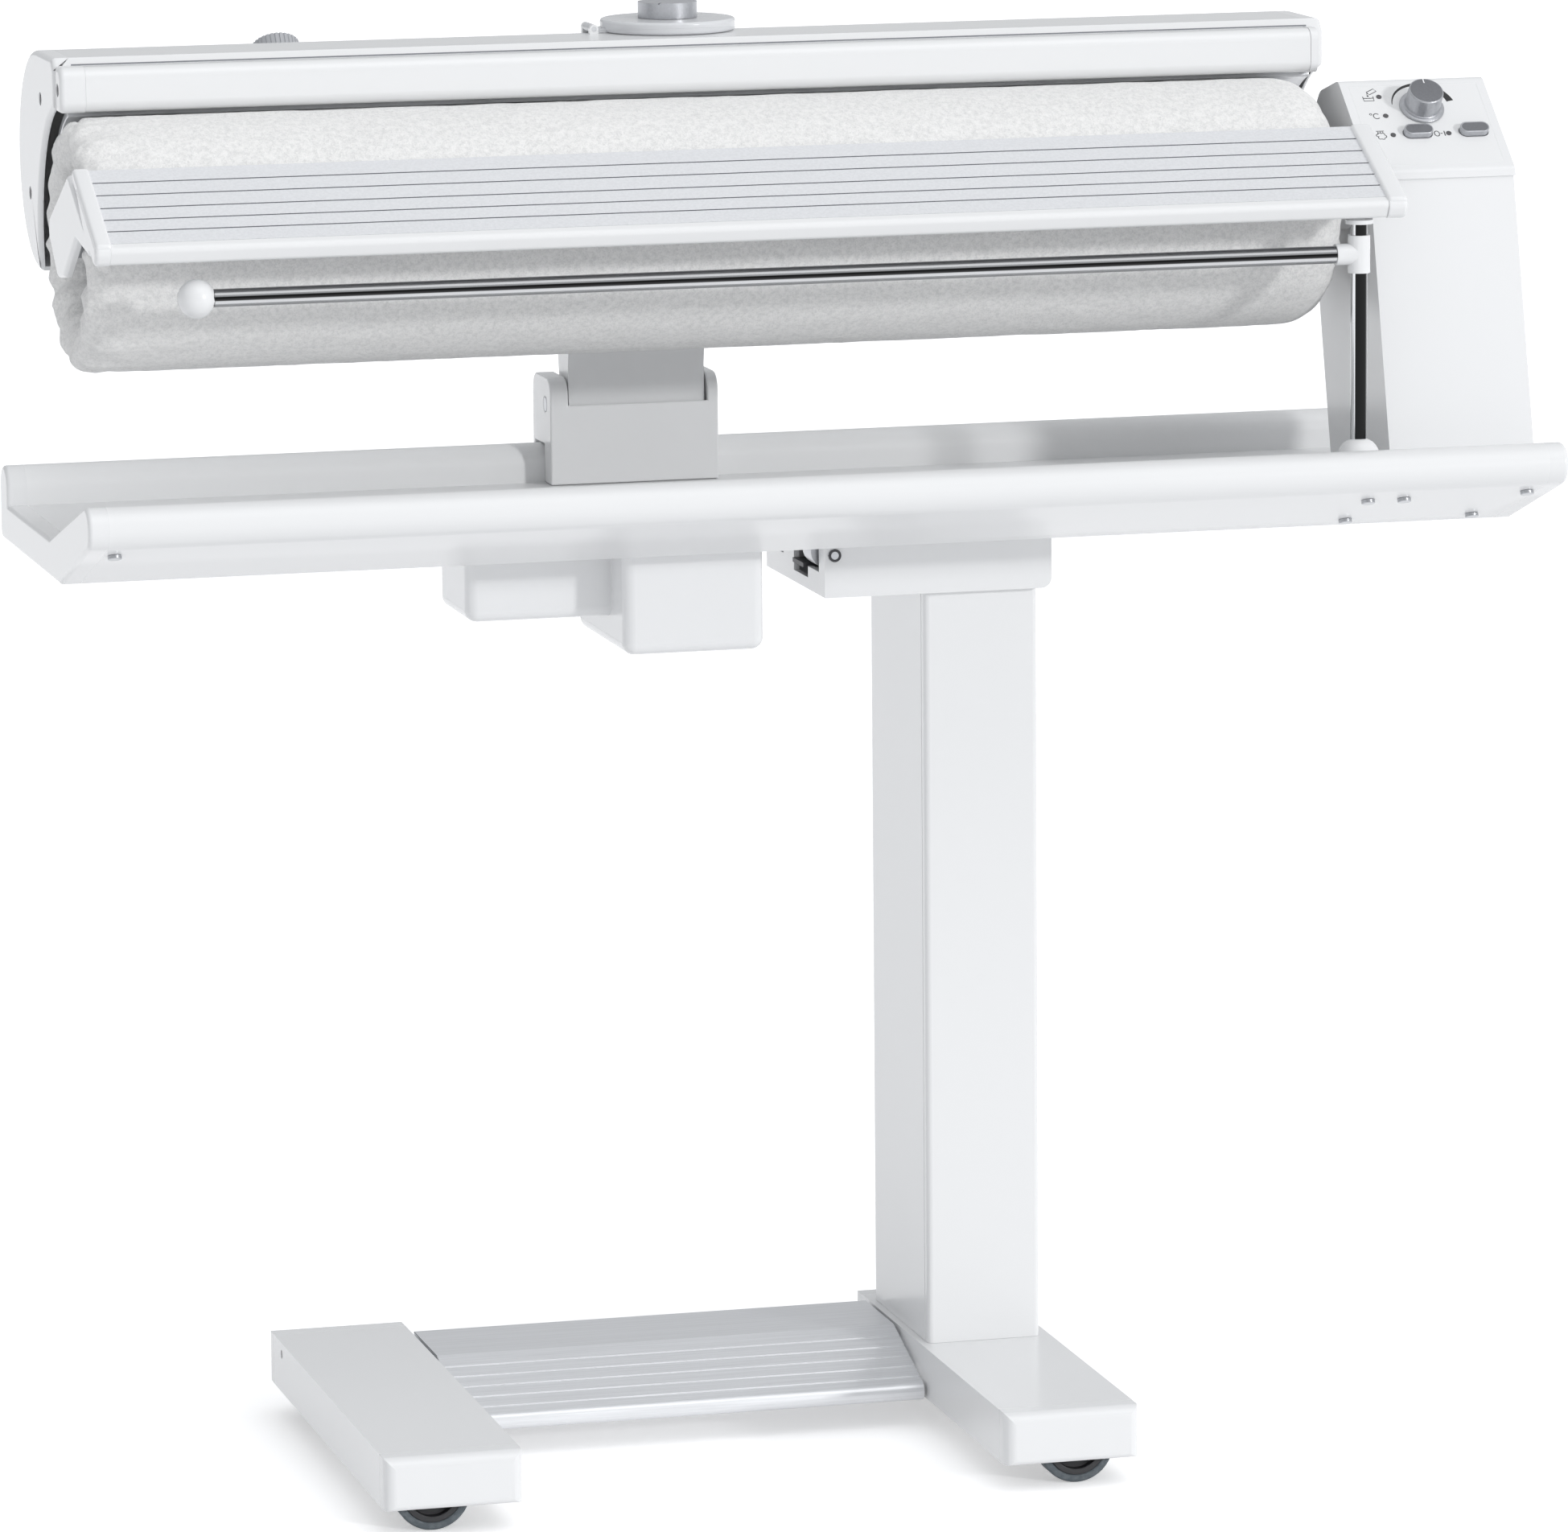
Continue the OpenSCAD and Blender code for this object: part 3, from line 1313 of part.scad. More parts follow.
module laundry_bar() {
    color(chrome) rod_x(post_x - bar_len, post_x - post_r - bar_r / 4, post_y, bar_z, bar_r);
}

// steam shoe, its hood and what is inside
module ring_x(r0, r1, a0, a1, x0, x1) {
    translate([x0, roller_y, roller_z]) rotate([90, 0, 90]) rotate([0, 0, a0]) rotate_extrude(angle = a1 - a0)
        translate([r0, 0]) square([r1 - r0, x1 - x0]);
}

module heated_shoe() {
    color(silver) ring_x(shoe_r, shoe_out_r, shoe_low_a, shoe_high_a, shoe_left_x, shoe_right_x);
}

module heating_elements() {
    margin = (hood_right_x - hood_left_x) / 60;
    color(dark) for (a = heater_angles) {
        p = polar(heater_ring_r, a);
        rod_x(hood_left_x + margin, hood_right_x - margin, roller_y + p[0], roller_z + p[1], heater_r);
    }
}

function hood_pts() = concat(
    [[roller_y + hood_edge_shares[0] * hood_in_r, hood_c[1] - hood_r]],
    arc(hood_c, hood_r, -90, 90),
    [[roller_y + hood_front + 3 * hood_wall, hood_top_z], [roller_y + hood_front, hood_top_z - 3 * hood_wall],
        [roller_y + hood_front, roller_z + hood_edge_shares[1] * hood_in_r]]
);

module dial_frame() {
    translate([dial_x, hood_c[0], hood_c[1]]) rotate([-dial_lean, 0, 0]) children();
}

module lid_ears() {
    inner = lid_barrel_w / 2 + play;
    for (side = [-1, 1]) {
        y = lid_y + side * (inner + lid_ear_w / 2);
        rod_y(y - lid_ear_w / 2, y + lid_ear_w / 2, lid_hinge_x, lid_hinge_z, lid_barrel_r);
        box([lid_hinge_x - lid_barrel_r, y - lid_ear_w / 2, hood_top_z - 2 * hood_wall],
            [lid_hinge_x + lid_barrel_r, y + lid_ear_w / 2, lid_hinge_z]);
    }
}

module hood_shell() {
    len = hood_right_x - hood_left_x;
    neck = [lid_x, lid_y, hood_c[1] + collar_start_share * hood_r];
    color(white) difference() {
        union() {
            difference() {
                along_x(hood_left_x, hood_right_x) polygon(hood_pts());
                along_x(hood_left_x - over, hood_right_x + over) polygon(inset(hood_pts(), hood_wall));
            }
            for (s = rib_shares) along_x(hood_left_x + s * len, hood_left_x + s * len + hood_wall)
                polygon(inset(hood_pts(), hood_wall / 2));
            translate(neck) cylinder(h = hood_top_z - neck[2], r = collar_r);
            lid_ears();
        }
        translate(neck - [0, 0, hood_r / 4]) cylinder(h = hood_r, r = neck_r + play);
        rod_x(hood_left_x - over, hood_right_x + over, roller_y, roller_z, hood_in_r);
        for (a = heater_angles) rod_x(hood_left_x - over, hood_right_x + over,
            roller_y + heater_ring_r * cos(a), roller_z + heater_ring_r * sin(a), heater_r + play);
        rod_y(lid_y - lid_r, lid_y + lid_r, lid_hinge_x, lid_hinge_z, lid_pin_r + run_fit);
        dial_frame() cylinder(h = 2 * hood_r, r = dial_spindle_r + run_fit);
        along_x(tank_x - play, tank_x + tank_w + play) polygon(tank_pts(seat));
    }
}

module hood_caps() {
    bar_piece = bar_piece_share * hood_cap_t;
    color(white) difference() {
        union() {
            for (x = [hood_left_x - hood_cap_t, hood_right_x]) difference() {
                along_x(x, x + hood_cap_t) polygon(hood_pts());
                rod_x(x - over, x + hood_cap_t + over, roller_y, roller_z, cap_in_r);
                along_x(x == hood_right_x ? x - over : x + hood_wall,
                    x == hood_right_x ? x + hood_cap_t - hood_wall : x + hood_cap_t + over)
                    polygon(inset(hood_pts(), hood_wall));
            }
            along_x(hood_left_x - bar_piece, hood_left_x + hood_cap_t / 2) front_bar_outline(seat);
            along_x(hood_right_x - hood_wall, hood_right_x + hood_wall) front_bar_outline(seat);
        }
        for (s = cap_screw_shares) rod_x(hood_left_x - 2 * hood_cap_t, hood_left_x - hood_cap_t + 2 * hood_wall,
            roller_y + s[0] * hood_r, roller_z + s[1] * hood_r, cap_hole_r);
        rod_x(hood_left_x - 2 * hood_cap_t, hood_left_x - bar_piece + hood_wall,
            bar_front_y + front_bar_d / 2, bar_low_z + front_bar_h / 2, cap_hole_r);
    }
}

module front_bar_outline(t) {
    r = front_bar_d * bar_round_shares[0];
    polygon(rounded(box_pts([bar_front_y - t, bar_low_z - t],
        [roller_y + hood_front, bar_low_z + front_bar_h + t]), [r, 0, 0, r]));
}

module front_rail() {
    left = hood_left_x + hood_cap_t / 2;
    right = hood_right_x - hood_wall;
    r = front_bar_d * bar_round_shares[1];
    color(white) difference() {
        along_x(left, right) front_bar_outline(0);
        along_x(left - over, right + over) polygon(rounded(box_pts(
            [bar_front_y + hood_wall, bar_low_z + hood_wall],
            [roller_y + hood_front - hood_wall, bar_low_z + front_bar_h - hood_wall]), [r, 0, 0, r]));
    }
}

// shoe arm and its housing
function arm_pts() = [
    [arm_pivot_y - arm_boss_r, arm_z],
    [arm_pivot_y + arm_boss_r, arm_z],
    [arm_pivot_y + arm_low_shares[0] * arm_boss_r, arm_z + 3 * arm_boss_r],
    [hood_c[0] + arm_top_shares[0] * hood_r, hood_c[1] - arm_drop_share * hood_r],
    [hood_c[0] + arm_top_shares[1] * hood_r, hood_c[1] - arm_drop_share * hood_r],
    [hood_c[0] + arm_top_shares[2] * hood_r, arm_z + 9 * arm_boss_r],
    [arm_pivot_y - arm_low_shares[1] * arm_boss_r, arm_z + 2 * arm_boss_r]
];

module shoe_arm() {
    wall = 2 * hood_wall;
    color(white) difference() {
        union() {
            along_x(arm_left, arm_left + arm_w) polygon(arm_pts());
            rod_x(arm_left, arm_left + arm_w, arm_pivot_y, arm_z, arm_boss_r);
        }
        rod_x(arm_left - over, arm_left + arm_w + over, hood_c[0], hood_c[1], hood_r + seat / 2);
        rod_x(arm_left - over, arm_left + arm_w + over, arm_pivot_y, arm_z, arm_pin_r + run_fit);
        intersection() {
            along_x(arm_left + wall, arm_left + arm_w - wall) union() {
                polygon(inset(arm_pts(), wall));
                translate([2 * wall, 0]) polygon(inset(arm_pts(), wall));
            }
            box([arm_left, arm_pivot_y - 4 * arm_boss_r, arm_z + arm_low_shares[2] * arm_boss_r],
                [arm_left + arm_w, arm_pivot_y + 6 * arm_boss_r, hood_c[1]]);
        }
    }
}

module arm_housing() {
    rail_front = tray_back_y - 2 * rail_r - seat;
    rail_top = back_rail_c[1] + rail_r + seat;
    tail = tray_back_y + seat + tail_share * tray_wall;
    top = arm_z + arm_low_shares[3] * arm_boss_r;
    low = back_rail_c[1] - rail_r / 2;
    right = arm_housing_left + arm_housing_w;
    color(white) difference() {
        along_x(arm_housing_left, right) polygon(rounded([
            [arm_housing_y, floor_z + seat], [rail_front, floor_z + seat], [rail_front, rail_top],
            [tray_back_y + seat, rail_top], [tray_back_y + seat, low], [tail, low], [tail, top],
            [arm_housing_y, top]
        ], [0, 0, 0, 0, 0, tray_wall, arm_boss_r, arm_boss_r]));
        box([arm_left - arm_side_gap, arm_housing_y + hood_wall, arm_z - arm_boss_r - arm_side_gap],
            [arm_left + arm_w + arm_side_gap, tail + over, top + over]);
        box([arm_left - arm_side_gap, arm_housing_y - over, arm_z],
            [arm_left + arm_w + arm_side_gap, arm_housing_y + 2 * hood_wall, top + over]);
        rod_x(arm_housing_left - over, right + over, arm_pivot_y, arm_z, arm_pin_r);
    }
}

module arm_pin() {
    color(steel) rod_x(arm_housing_left, arm_housing_left + arm_housing_w, arm_pivot_y, arm_z, arm_pin_r);
}

// water tank, filler lid and dial
function tank_pts(grow) = let (
    front = roller_y + tank_front_share * hood_front - grow,
    near = tank_near_share * hood_in_r - grow,
    knee = [roller_y, roller_z] + polar(near, tank_knee_a),
    low = [roller_y, roller_z] + polar(tank_low_share * hood_in_r - grow, tank_low_a)
) concat([low], arc(hood_c, tank_r + grow, tank_start_a, 90), [[front, hood_c[1] + tank_r + grow],
    [front, roller_z + near]],
    [knee]);

module water_tank() {
    wall = hood_wall * tank_wall_share;
    base = hood_c[1] + hood_r / 2;
    color(clear) difference() {
        union() {
            along_x(tank_x, tank_x + tank_w) polygon(tank_pts(0));
            translate([lid_x, lid_y, base]) cylinder(h = hood_top_z - base, r = neck_r);
        }
        along_x(tank_x + wall, tank_x + tank_w - wall) polygon(inset(tank_pts(0), wall));
        translate([lid_x, lid_y, base]) cylinder(h = hood_top_z, r = neck_r - wall);
    }
}

module filler_lid() {
    edge = lid_t / 4;
    pin_reach = lid_barrel_w / 2 + play + lid_ear_w;
    color(clear) union() {
        translate([lid_x, lid_y, lid_z]) rotate_extrude() polygon(concat(
            [[0, 0]], corner([lid_r, 0], [0, 0], [lid_r, lid_t], edge), corner([lid_r, lid_t], [lid_r,
                0], [0, lid_t], edge),
            [[0, lid_t]]));
        box([lid_hinge_x, lid_y - lid_barrel_w / 2, lid_z], [lid_x - neck_r, lid_y + lid_barrel_w / 2,
            lid_hinge_z]);
        rod_y(lid_y - lid_barrel_w / 2, lid_y + lid_barrel_w / 2, lid_hinge_x, lid_hinge_z, lid_barrel_r);
        rod_y(lid_y - pin_reach, lid_y + pin_reach, lid_hinge_x, lid_hinge_z, lid_pin_r);
    }
}

module lid_knob() {
    color(silver) translate([lid_x, lid_y, lid_z + lid_t + seat]) difference() {
        cylinder(h = lid_knob_h, r = lid_knob_r);
        for (i = [0 : 2]) translate([0, 0, lid_knob_h]) rotate([0, 0, i * 120])
            translate([lid_knob_r * knob_mark_share, -groove_w / 2, -groove_d])
                cube([lid_knob_r, groove_w, 2 * groove_d]);
    }
}

module steam_dial() {
    ribs = 32;
    color(grey) dial_frame() difference() {
        union() {
            translate([0, 0, hood_r + seat]) cylinder(h = dial_h, r = dial_r);
            translate([0, 0, hood_r - 3 * hood_wall]) cylinder(h = dial_h, r = dial_spindle_r);
        }
        for (i = [0 : ribs - 1]) rotate([0, 0, i * 360 / ribs]) translate([dial_r, 0, hood_r + dial_h / 4])
            cylinder(h = dial_h, r = dial_r / 24);
    }
}

left_foot();
right_foot();
foot_caps();
wheel_housings();
wheel_axles();
cross_tube();
pedal_rod();
column();
column_bolts();
hinge_bracket();
hinge_pin();
rest_buffers();
tyre_front_left();
tyre_front_right();
tyre_back_left();
tyre_back_right();
hub_front_left();
hub_front_right();
hub_back_left();
hub_back_right();
pedal_plate();
pedal_spring();
latch_lever();
tray();
tray_caps();
hinge_plate();
tray_screws();
under_box();
tower_housing();
tower_frame();
control_panel();
gear_motor();
indicator_lamps();
feed_plate();
feed_nose();
plate_caps();
rail_post();
post_fittings();
arm_housing();
arm_pin();
power_button();
steam_button();
temperature_knob();
roller_drum();
roller_felt();
roller_shaft();
roller_gear();
motor_pinion();
heated_shoe();
heating_elements();
hood_shell();
hood_caps();
front_rail();
shoe_arm();
water_tank();
filler_lid();
lid_knob();
steam_dial();
laundry_bar();
bar_fittings();
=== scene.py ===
"""Looks of the flatwork ironer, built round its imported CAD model."""

import json
from math import cos, pi, radians, sin

import bmesh
import bpy
from mathutils import Matrix, Vector, noise


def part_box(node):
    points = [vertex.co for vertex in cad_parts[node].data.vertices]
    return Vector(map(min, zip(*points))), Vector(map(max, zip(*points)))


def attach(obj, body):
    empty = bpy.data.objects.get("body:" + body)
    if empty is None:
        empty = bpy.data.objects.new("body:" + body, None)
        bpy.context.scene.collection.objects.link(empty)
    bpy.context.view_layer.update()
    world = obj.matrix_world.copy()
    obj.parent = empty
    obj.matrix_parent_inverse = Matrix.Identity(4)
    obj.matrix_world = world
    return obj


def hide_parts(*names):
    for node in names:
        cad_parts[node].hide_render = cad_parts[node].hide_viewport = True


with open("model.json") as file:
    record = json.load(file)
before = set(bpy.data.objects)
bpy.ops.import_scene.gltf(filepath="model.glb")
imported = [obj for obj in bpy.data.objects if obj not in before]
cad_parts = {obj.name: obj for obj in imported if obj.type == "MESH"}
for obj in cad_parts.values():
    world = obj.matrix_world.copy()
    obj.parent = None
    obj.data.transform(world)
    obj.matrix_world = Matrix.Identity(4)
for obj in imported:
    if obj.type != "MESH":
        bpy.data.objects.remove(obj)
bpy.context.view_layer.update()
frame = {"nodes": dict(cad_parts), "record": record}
nodes = frame["nodes"]
body_of = {n: b for b, members in frame["record"]["behaviour"]["bodies"].items() for n in members}
MM = 0.001


# shader maths

class Term:
    """A shader socket that takes part in plain arithmetic."""

    def __init__(self, finish, socket):
        self.finish, self.socket = finish, socket

    def maths(self, operation, *terms):
        return self.finish.add("ShaderNodeMath", {"operation": operation}, dict(enumerate(terms)))

    def __add__(self, other):
        return self.maths("ADD", self, other)

    __radd__ = __add__

    def __sub__(self, other):
        return self.maths("SUBTRACT", self, other)

    def __rsub__(self, other):
        return self.maths("SUBTRACT", other, self)

    def __mul__(self, other):
        return self.maths("MULTIPLY", self, other)

    __rmul__ = __mul__

    def most(self, other):
        return self.maths("MAXIMUM", self, other)

    def smooth(self, low, high):
        return self.finish.add("ShaderNodeMapRange", {"interpolation_type": "SMOOTHSTEP"},
                               {"Value": self, "From Min": low, "From Max": high})


class Finish:
    """One material: its nodes are added by one method and its bumps stack up."""

    def __init__(self, name, **shader):
        self.material = bpy.data.materials.new(name)
        self.material.use_nodes = True
        self.tree = self.material.node_tree
        self.tree.nodes.clear()
        out = self.tree.nodes.new("ShaderNodeOutputMaterial")
        self.shader = self.tree.nodes.new("ShaderNodeBsdfPrincipled")
        self.tree.links.new(self.shader.outputs[0], out.inputs[0])
        self.place = self.add("ShaderNodeTexCoord", {}, {}, "Object")
        self.normal = None
        self.set(**shader)

    def add(self, kind, settings, inputs, output=0):
        node = self.tree.nodes.new(kind)
        for key, value in settings.items():
            if key == "stops":
                for i, (at, colour) in enumerate(value):
                    stop = node.color_ramp.elements[i] if i < 2 else node.color_ramp.elements.new(at)
                    stop.position, stop.color = at, colour
            else:
                setattr(node, key, value)
        for key, value in inputs.items():
            self.feed(node.inputs[key], value)
        return Term(self, node.outputs[output])

    def feed(self, socket, value):
        if isinstance(value, Term):
            self.tree.links.new(value.socket, socket)
        else:
            socket.default_value = value

    def set(self, **shader):
        for key, value in shader.items():
            if isinstance(value, tuple) and len(value) == 3:
                value = (*value, 1)
            name = key.replace("_", " ").title().replace("Ior", "IOR")
            self.feed(self.shader.inputs[name], value)
        return self

    def spots(self, scale, detail=2.0, roughness=0.5, place=None):
        inputs = {"Vector": place or self.place, "Scale": scale, "Detail": detail,
                  "Roughness": roughness}
        return self.add("ShaderNodeTexNoise", {}, inputs)

    def stretched(self, x, y, z):
        return self.add("ShaderNodeVectorMath", {"operation": "MULTIPLY"}, {0: self.place, 1: (x, y, z)})

    def blend(self, mask, low, high):
        inputs = {0: mask, 6: (*low, 1), 7: (*high, 1)}
        return self.add("ShaderNodeMix", {"data_type": "RGBA"}, inputs, 2)

    def bump(self, height, depth, strength=1.0):
        inputs = {"Height": height, "Distance": depth, "Strength": strength}
        if self.normal:
            inputs["Normal"] = self.normal
        self.normal = self.add("ShaderNodeBump", {}, inputs)
        self.feed(self.shader.inputs["Normal"], self.normal)
        return self


# kinds of finish

def clouded(name, tone, rough, scale, **shader):
    """A smooth coat whose tone and gloss vary very slightly, in wide clouds."""
    dim, gloss_change = 0.993, 0.02
    f = Finish(name, **shader)
    cloud = f.spots(scale, detail=0.0)
    f.set(base_color=f.blend(cloud, tuple(c * dim for c in tone), tone))
    return f.set(roughness=rough + (cloud - 0.5) * gloss_change)


def painted(name, tone, rough, coat):
    return clouded(name, tone, rough, scale=1.3, coat_weight=coat, coat_roughness=0.12)


def moulded(name, tone, rough):
    return clouded(name, tone, rough, scale=1.7)


def brushed(name, tone, rough, grain, metallic=1.0):
    """Metal with a fine grain: grain is how often it changes along each axis."""
    dim, gloss_change, depth = 0.9, 0.15, 0.02 * MM
    f = Finish(name, metallic=metallic)
    streak = f.spots(1.0, detail=4.0, roughness=0.6, place=f.stretched(*grain))
    f.set(base_color=f.blend(streak.smooth(0.3, 0.7), tuple(c * dim for c in tone), tone))
    f.set(roughness=rough + (streak - 0.5) * gloss_change)
    return f.bump(streak, depth, strength=0.6)


def speckled(name, scale, low, high, **shader):
    """A finish whose colour wanders between two tones in small spots."""
    f = Finish(name, **shader)
    return f.set(base_color=f.blend(f.spots(scale), low, high))


def chrome_with_painted_reflections(name, axis, stops):
    """Chrome whose base colour holds painted reflections: light and dark stripes along the tube, chosen
    by which way the surface faces; stops are (share of the turn, painted brightness).
    """
    cool = (1, 1.01, 1.03)
    f = Finish(name, metallic=0.9)
    facing = f.add("ShaderNodeTexCoord", {}, {}, "Normal")
    turned = f.add("ShaderNodeSeparateXYZ", {}, {0: facing}, axis)
    colours = [(at, (*(c * k for k in cool), 1)) for at, c in stops]
    painted_reflection_bands = f.add("ShaderNodeValToRGB", {"stops": colours}, {0: turned * 0.5 + 0.5})
    return f.set(base_color=painted_reflection_bands, roughness=0.08 + f.spots(200.0, detail=3.0) * 0.04)


# finishes

WHITE = (0.82, 0.825, 0.83)
white_paint = painted("white_paint", WHITE, rough=0.28, coat=0.2)
tray_paint = painted("tray_paint", WHITE, rough=0.33, coat=0.1)
hood_paint = painted("hood_paint", WHITE, rough=0.25, coat=0.3)
white_plastic = moulded("white_plastic", (0.82, 0.825, 0.832), rough=0.24)
soft_plastic = moulded("satin_white_plastic", WHITE, rough=0.4)
black_plastic = moulded("black_plastic", (0.03, 0.03, 0.033), rough=0.5)
dial_grey = moulded("dial_grey", (0.42, 0.43, 0.45), rough=0.35)

steel = brushed("steel", (0.5, 0.51, 0.53), rough=0.32, grain=(40, 900, 900))
dark_steel = brushed("dark_steel", (0.07, 0.07, 0.075), rough=0.45, grain=(60, 600, 600), metallic=0.7)
silver_lacquer = brushed("silver_lacquer", (0.5, 0.51, 0.535), rough=0.34, grain=(500, 500, 500),
                         metallic=0.8)
knob_grey = brushed("knob_grey", (0.2, 0.205, 0.22), rough=0.42, grain=(700, 700, 700), metallic=0.5)
pedal_metal = brushed("pedal_metal", (0.8, 0.81, 0.83), rough=0.36, grain=(12, 900, 900), metallic=0.7)
shoe_metal = brushed("shoe_metal", (0.78, 0.79, 0.81), rough=0.3, grain=(10, 700, 700), metallic=0.6)
drum_metal = brushed("drum_metal", (0.3, 0.31, 0.33), rough=0.5, grain=(500, 500, 500), metallic=0.8)

# the light and dark stripes of both chromes are painted reflections in their base colour
rail_chrome = chrome_with_painted_reflections("rail_chrome", "Z", (
    (0.0, 0.35), (0.2, 0.6), (0.36, 0.55), (0.4, 0.05), (0.5, 0.012),
    (0.6, 0.015), (0.63, 0.4), (0.86, 0.3), (0.95, 0.14), (1.0, 0.5)))
post_chrome = chrome_with_painted_reflections("post_chrome", "X", (
    (0.0, 0.35), (0.05, 0.75), (0.14, 0.8), (0.16, 0.012), (0.8, 0.02),
    (0.84, 0.2), (0.93, 0.4), (1.0, 0.3)))

# dark grey painted shade, for the floors and walls of grooves and for thin lines along the hood
groove_painted_shade = speckled("groove", 300.0, (0.2, 0.21, 0.23), (0.26, 0.27, 0.29), roughness=0.7)
buffer_rubber = speckled("black_rubber", 400.0, (0.02, 0.02, 0.02), (0.05, 0.05, 0.05), roughness=0.75)
lamp_lens = speckled("unlit_lens", 900.0, (0.05, 0.05, 0.055), (0.09, 0.085, 0.09),
                     coat_weight=0.6, roughness=0.25)
ink = speckled("grey_ink", 800.0, (0.03, 0.032, 0.036), (0.045, 0.047, 0.052), roughness=0.6)
black_ink = speckled("black_ink", 800.0, (0.012, 0.012, 0.013), (0.03, 0.03, 0.032), roughness=0.5)

lid_clear = speckled("frosted_lid", 40.0, (0.74, 0.75, 0.77), (0.8, 0.81, 0.83), alpha=0.82, ior=1.46)
lid_clear.set(roughness=0.14 + lid_clear.spots(120.0) * 0.05)
tank_milky = speckled("milky_tank", 20.0, (0.66, 0.7, 0.73), (0.73, 0.76, 0.79), alpha=0.8)
tank_milky.set(roughness=0.35 + tank_milky.spots(70.0) * 0.1)

deck_metal = Finish("anodised_deck", metallic=0.35, specular_ior_level=0.4)
pebble = deck_metal.spots(520.0, detail=3.0, roughness=0.6)
deck_tone = deck_metal.blend(pebble.smooth(0.3, 0.7), (0.76, 0.77, 0.79), (0.82, 0.83, 0.85))
deck_metal.set(base_color=deck_tone, roughness=0.55 + (pebble - 0.5) * 0.1)
deck_metal.bump(pebble, 0.12 * MM, strength=0.5)

tyre_grey = Finish("grey_tyre")
scuff = tyre_grey.spots(260.0, detail=4.0)
tyre_tone = tyre_grey.blend(scuff.smooth(0.35, 0.7), (0.1, 0.12, 0.135), (0.15, 0.17, 0.185))
tyre_grey.set(base_color=tyre_tone, roughness=0.6 + scuff * 0.2)
tyre_grey.bump(scuff, 0.15 * MM)

felt = Finish("white_felt", roughness=1.0, sheen_weight=0.35, sheen_roughness=0.5,
              specular_ior_level=0.1)
fuzz = felt.spots(900.0, detail=4.0, roughness=0.75)
clump = felt.spots(300.0, detail=4.0, roughness=0.7)
nap = (fuzz * 0.45 + clump * 0.55).smooth(0.36, 0.6)
felt.set(base_color=felt.blend(nap, (0.76, 0.76, 0.755), (0.94, 0.935, 0.925)))
felt.bump(clump, 1.2 * MM, strength=0.6).bump(fuzz, 0.8 * MM, strength=0.7)


# mesh helpers

# least angles, in degrees, of an edge that a rule may pick and of one that is eased
PICKED_ANGLE, EASED_ANGLE = 25, 30
# how far a point may be from a level and still lie on it
ON_LEVEL = 0.4 * MM
# least upward part of the normal of a face that faces up
FACES_UP = 0.3


def mesh_object(name, bm):
    mesh = bpy.data.meshes.new(name)
    bm.to_mesh(mesh)
    bm.free()
    piece = bpy.data.objects.new(name, mesh)
    bpy.context.scene.collection.objects.link(piece)
    return piece


def bake_modifiers(piece):
    """Turns the piece and its modifiers into one plain mesh."""
    bpy.context.view_layer.update()
    seen = piece.evaluated_get(bpy.context.evaluated_depsgraph_get())
    mesh = bpy.data.meshes.new_from_object(seen)
    piece.modifiers.clear()
    piece.data = mesh


def shade(piece, angle=35):
    piece.data.shade_smooth()
    piece.data.set_sharp_from_angle(angle=radians(angle))
    return piece


def finish_with(piece, finish):
    piece.data.materials.clear()
    piece.data.materials.append(finish.material)


def carry(piece, body, finish):
    """A piece of the scene alone, which moves with a body."""
    finish_with(piece, finish)
    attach(piece, body)


def stand_for(piece, node, finish):
    """A piece that is shown in place of a CAD node."""
    finish_with(piece, finish)
    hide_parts(node)
    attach(piece, body_of[node])


def merged(node):
    """The mesh of a CAD node, with its doubles merged and its flat faces joined."""
    same_place, same_plane = 0.03 * MM, radians(0.6)
    bm = bmesh.new()
    bm.from_mesh(nodes[node].data)
    bmesh.ops.remove_doubles(bm, verts=bm.verts, dist=same_place)
    bmesh.ops.dissolve_limit(bm, angle_limit=same_plane, verts=bm.verts, edges=bm.edges)
    return bm


def eased(bm, node, width, steps, finish):
    """Rounds every edge of a mesh by a width in mm, and lets it stand for a CAD node."""
    piece = mesh_object(node + "_finished", bm)
    edge = piece.modifiers.new("edge", "BEVEL")
    edge.width, edge.segments = width * MM, steps
    edge.limit_method, edge.angle_limit = "ANGLE", radians(EASED_ANGLE)
    piece.modifiers.new("normals", "WEIGHTED_NORMAL").keep_sharp = True
    shade(piece, 40)
    bake_modifiers(piece)
    stand_for(piece, node, finish)


def softened(node, width, finish):
    """A copy of a CAD node with its edges eased."""
    eased(merged(node), node, width, 3, finish)


def rounded(node, radius, choose, width, finish):
    """Like softened, but a rule picks edges that are first rounded by a radius in mm."""
    bm = merged(node)
    edges = [e for e in bm.edges if len(e.link_faces) == 2 and e.is_convex
             and e.calc_face_angle(0) > radians(PICKED_ANGLE) and choose(*(v.co for v in e.verts))]
    bmesh.ops.bevel(bm, geom=edges, offset=radius * MM, segments=6, affect="EDGES", profile=0.5)
    eased(bm, node, width, 2, finish)


def on_level(a, b, axis, levels):
    """Whether both points lie on one of the levels along an axis."""
    return any(abs(a[axis] - x) < ON_LEVEL and abs(b[axis] - x) < ON_LEVEL for x in levels)


def at_ends(node, axis):
    """A rule that picks the edges on the two sides of a node's box that face along an axis."""
    levels = [corner[axis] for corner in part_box(node)]
    return lambda a, b: on_level(a, b, axis, levels)


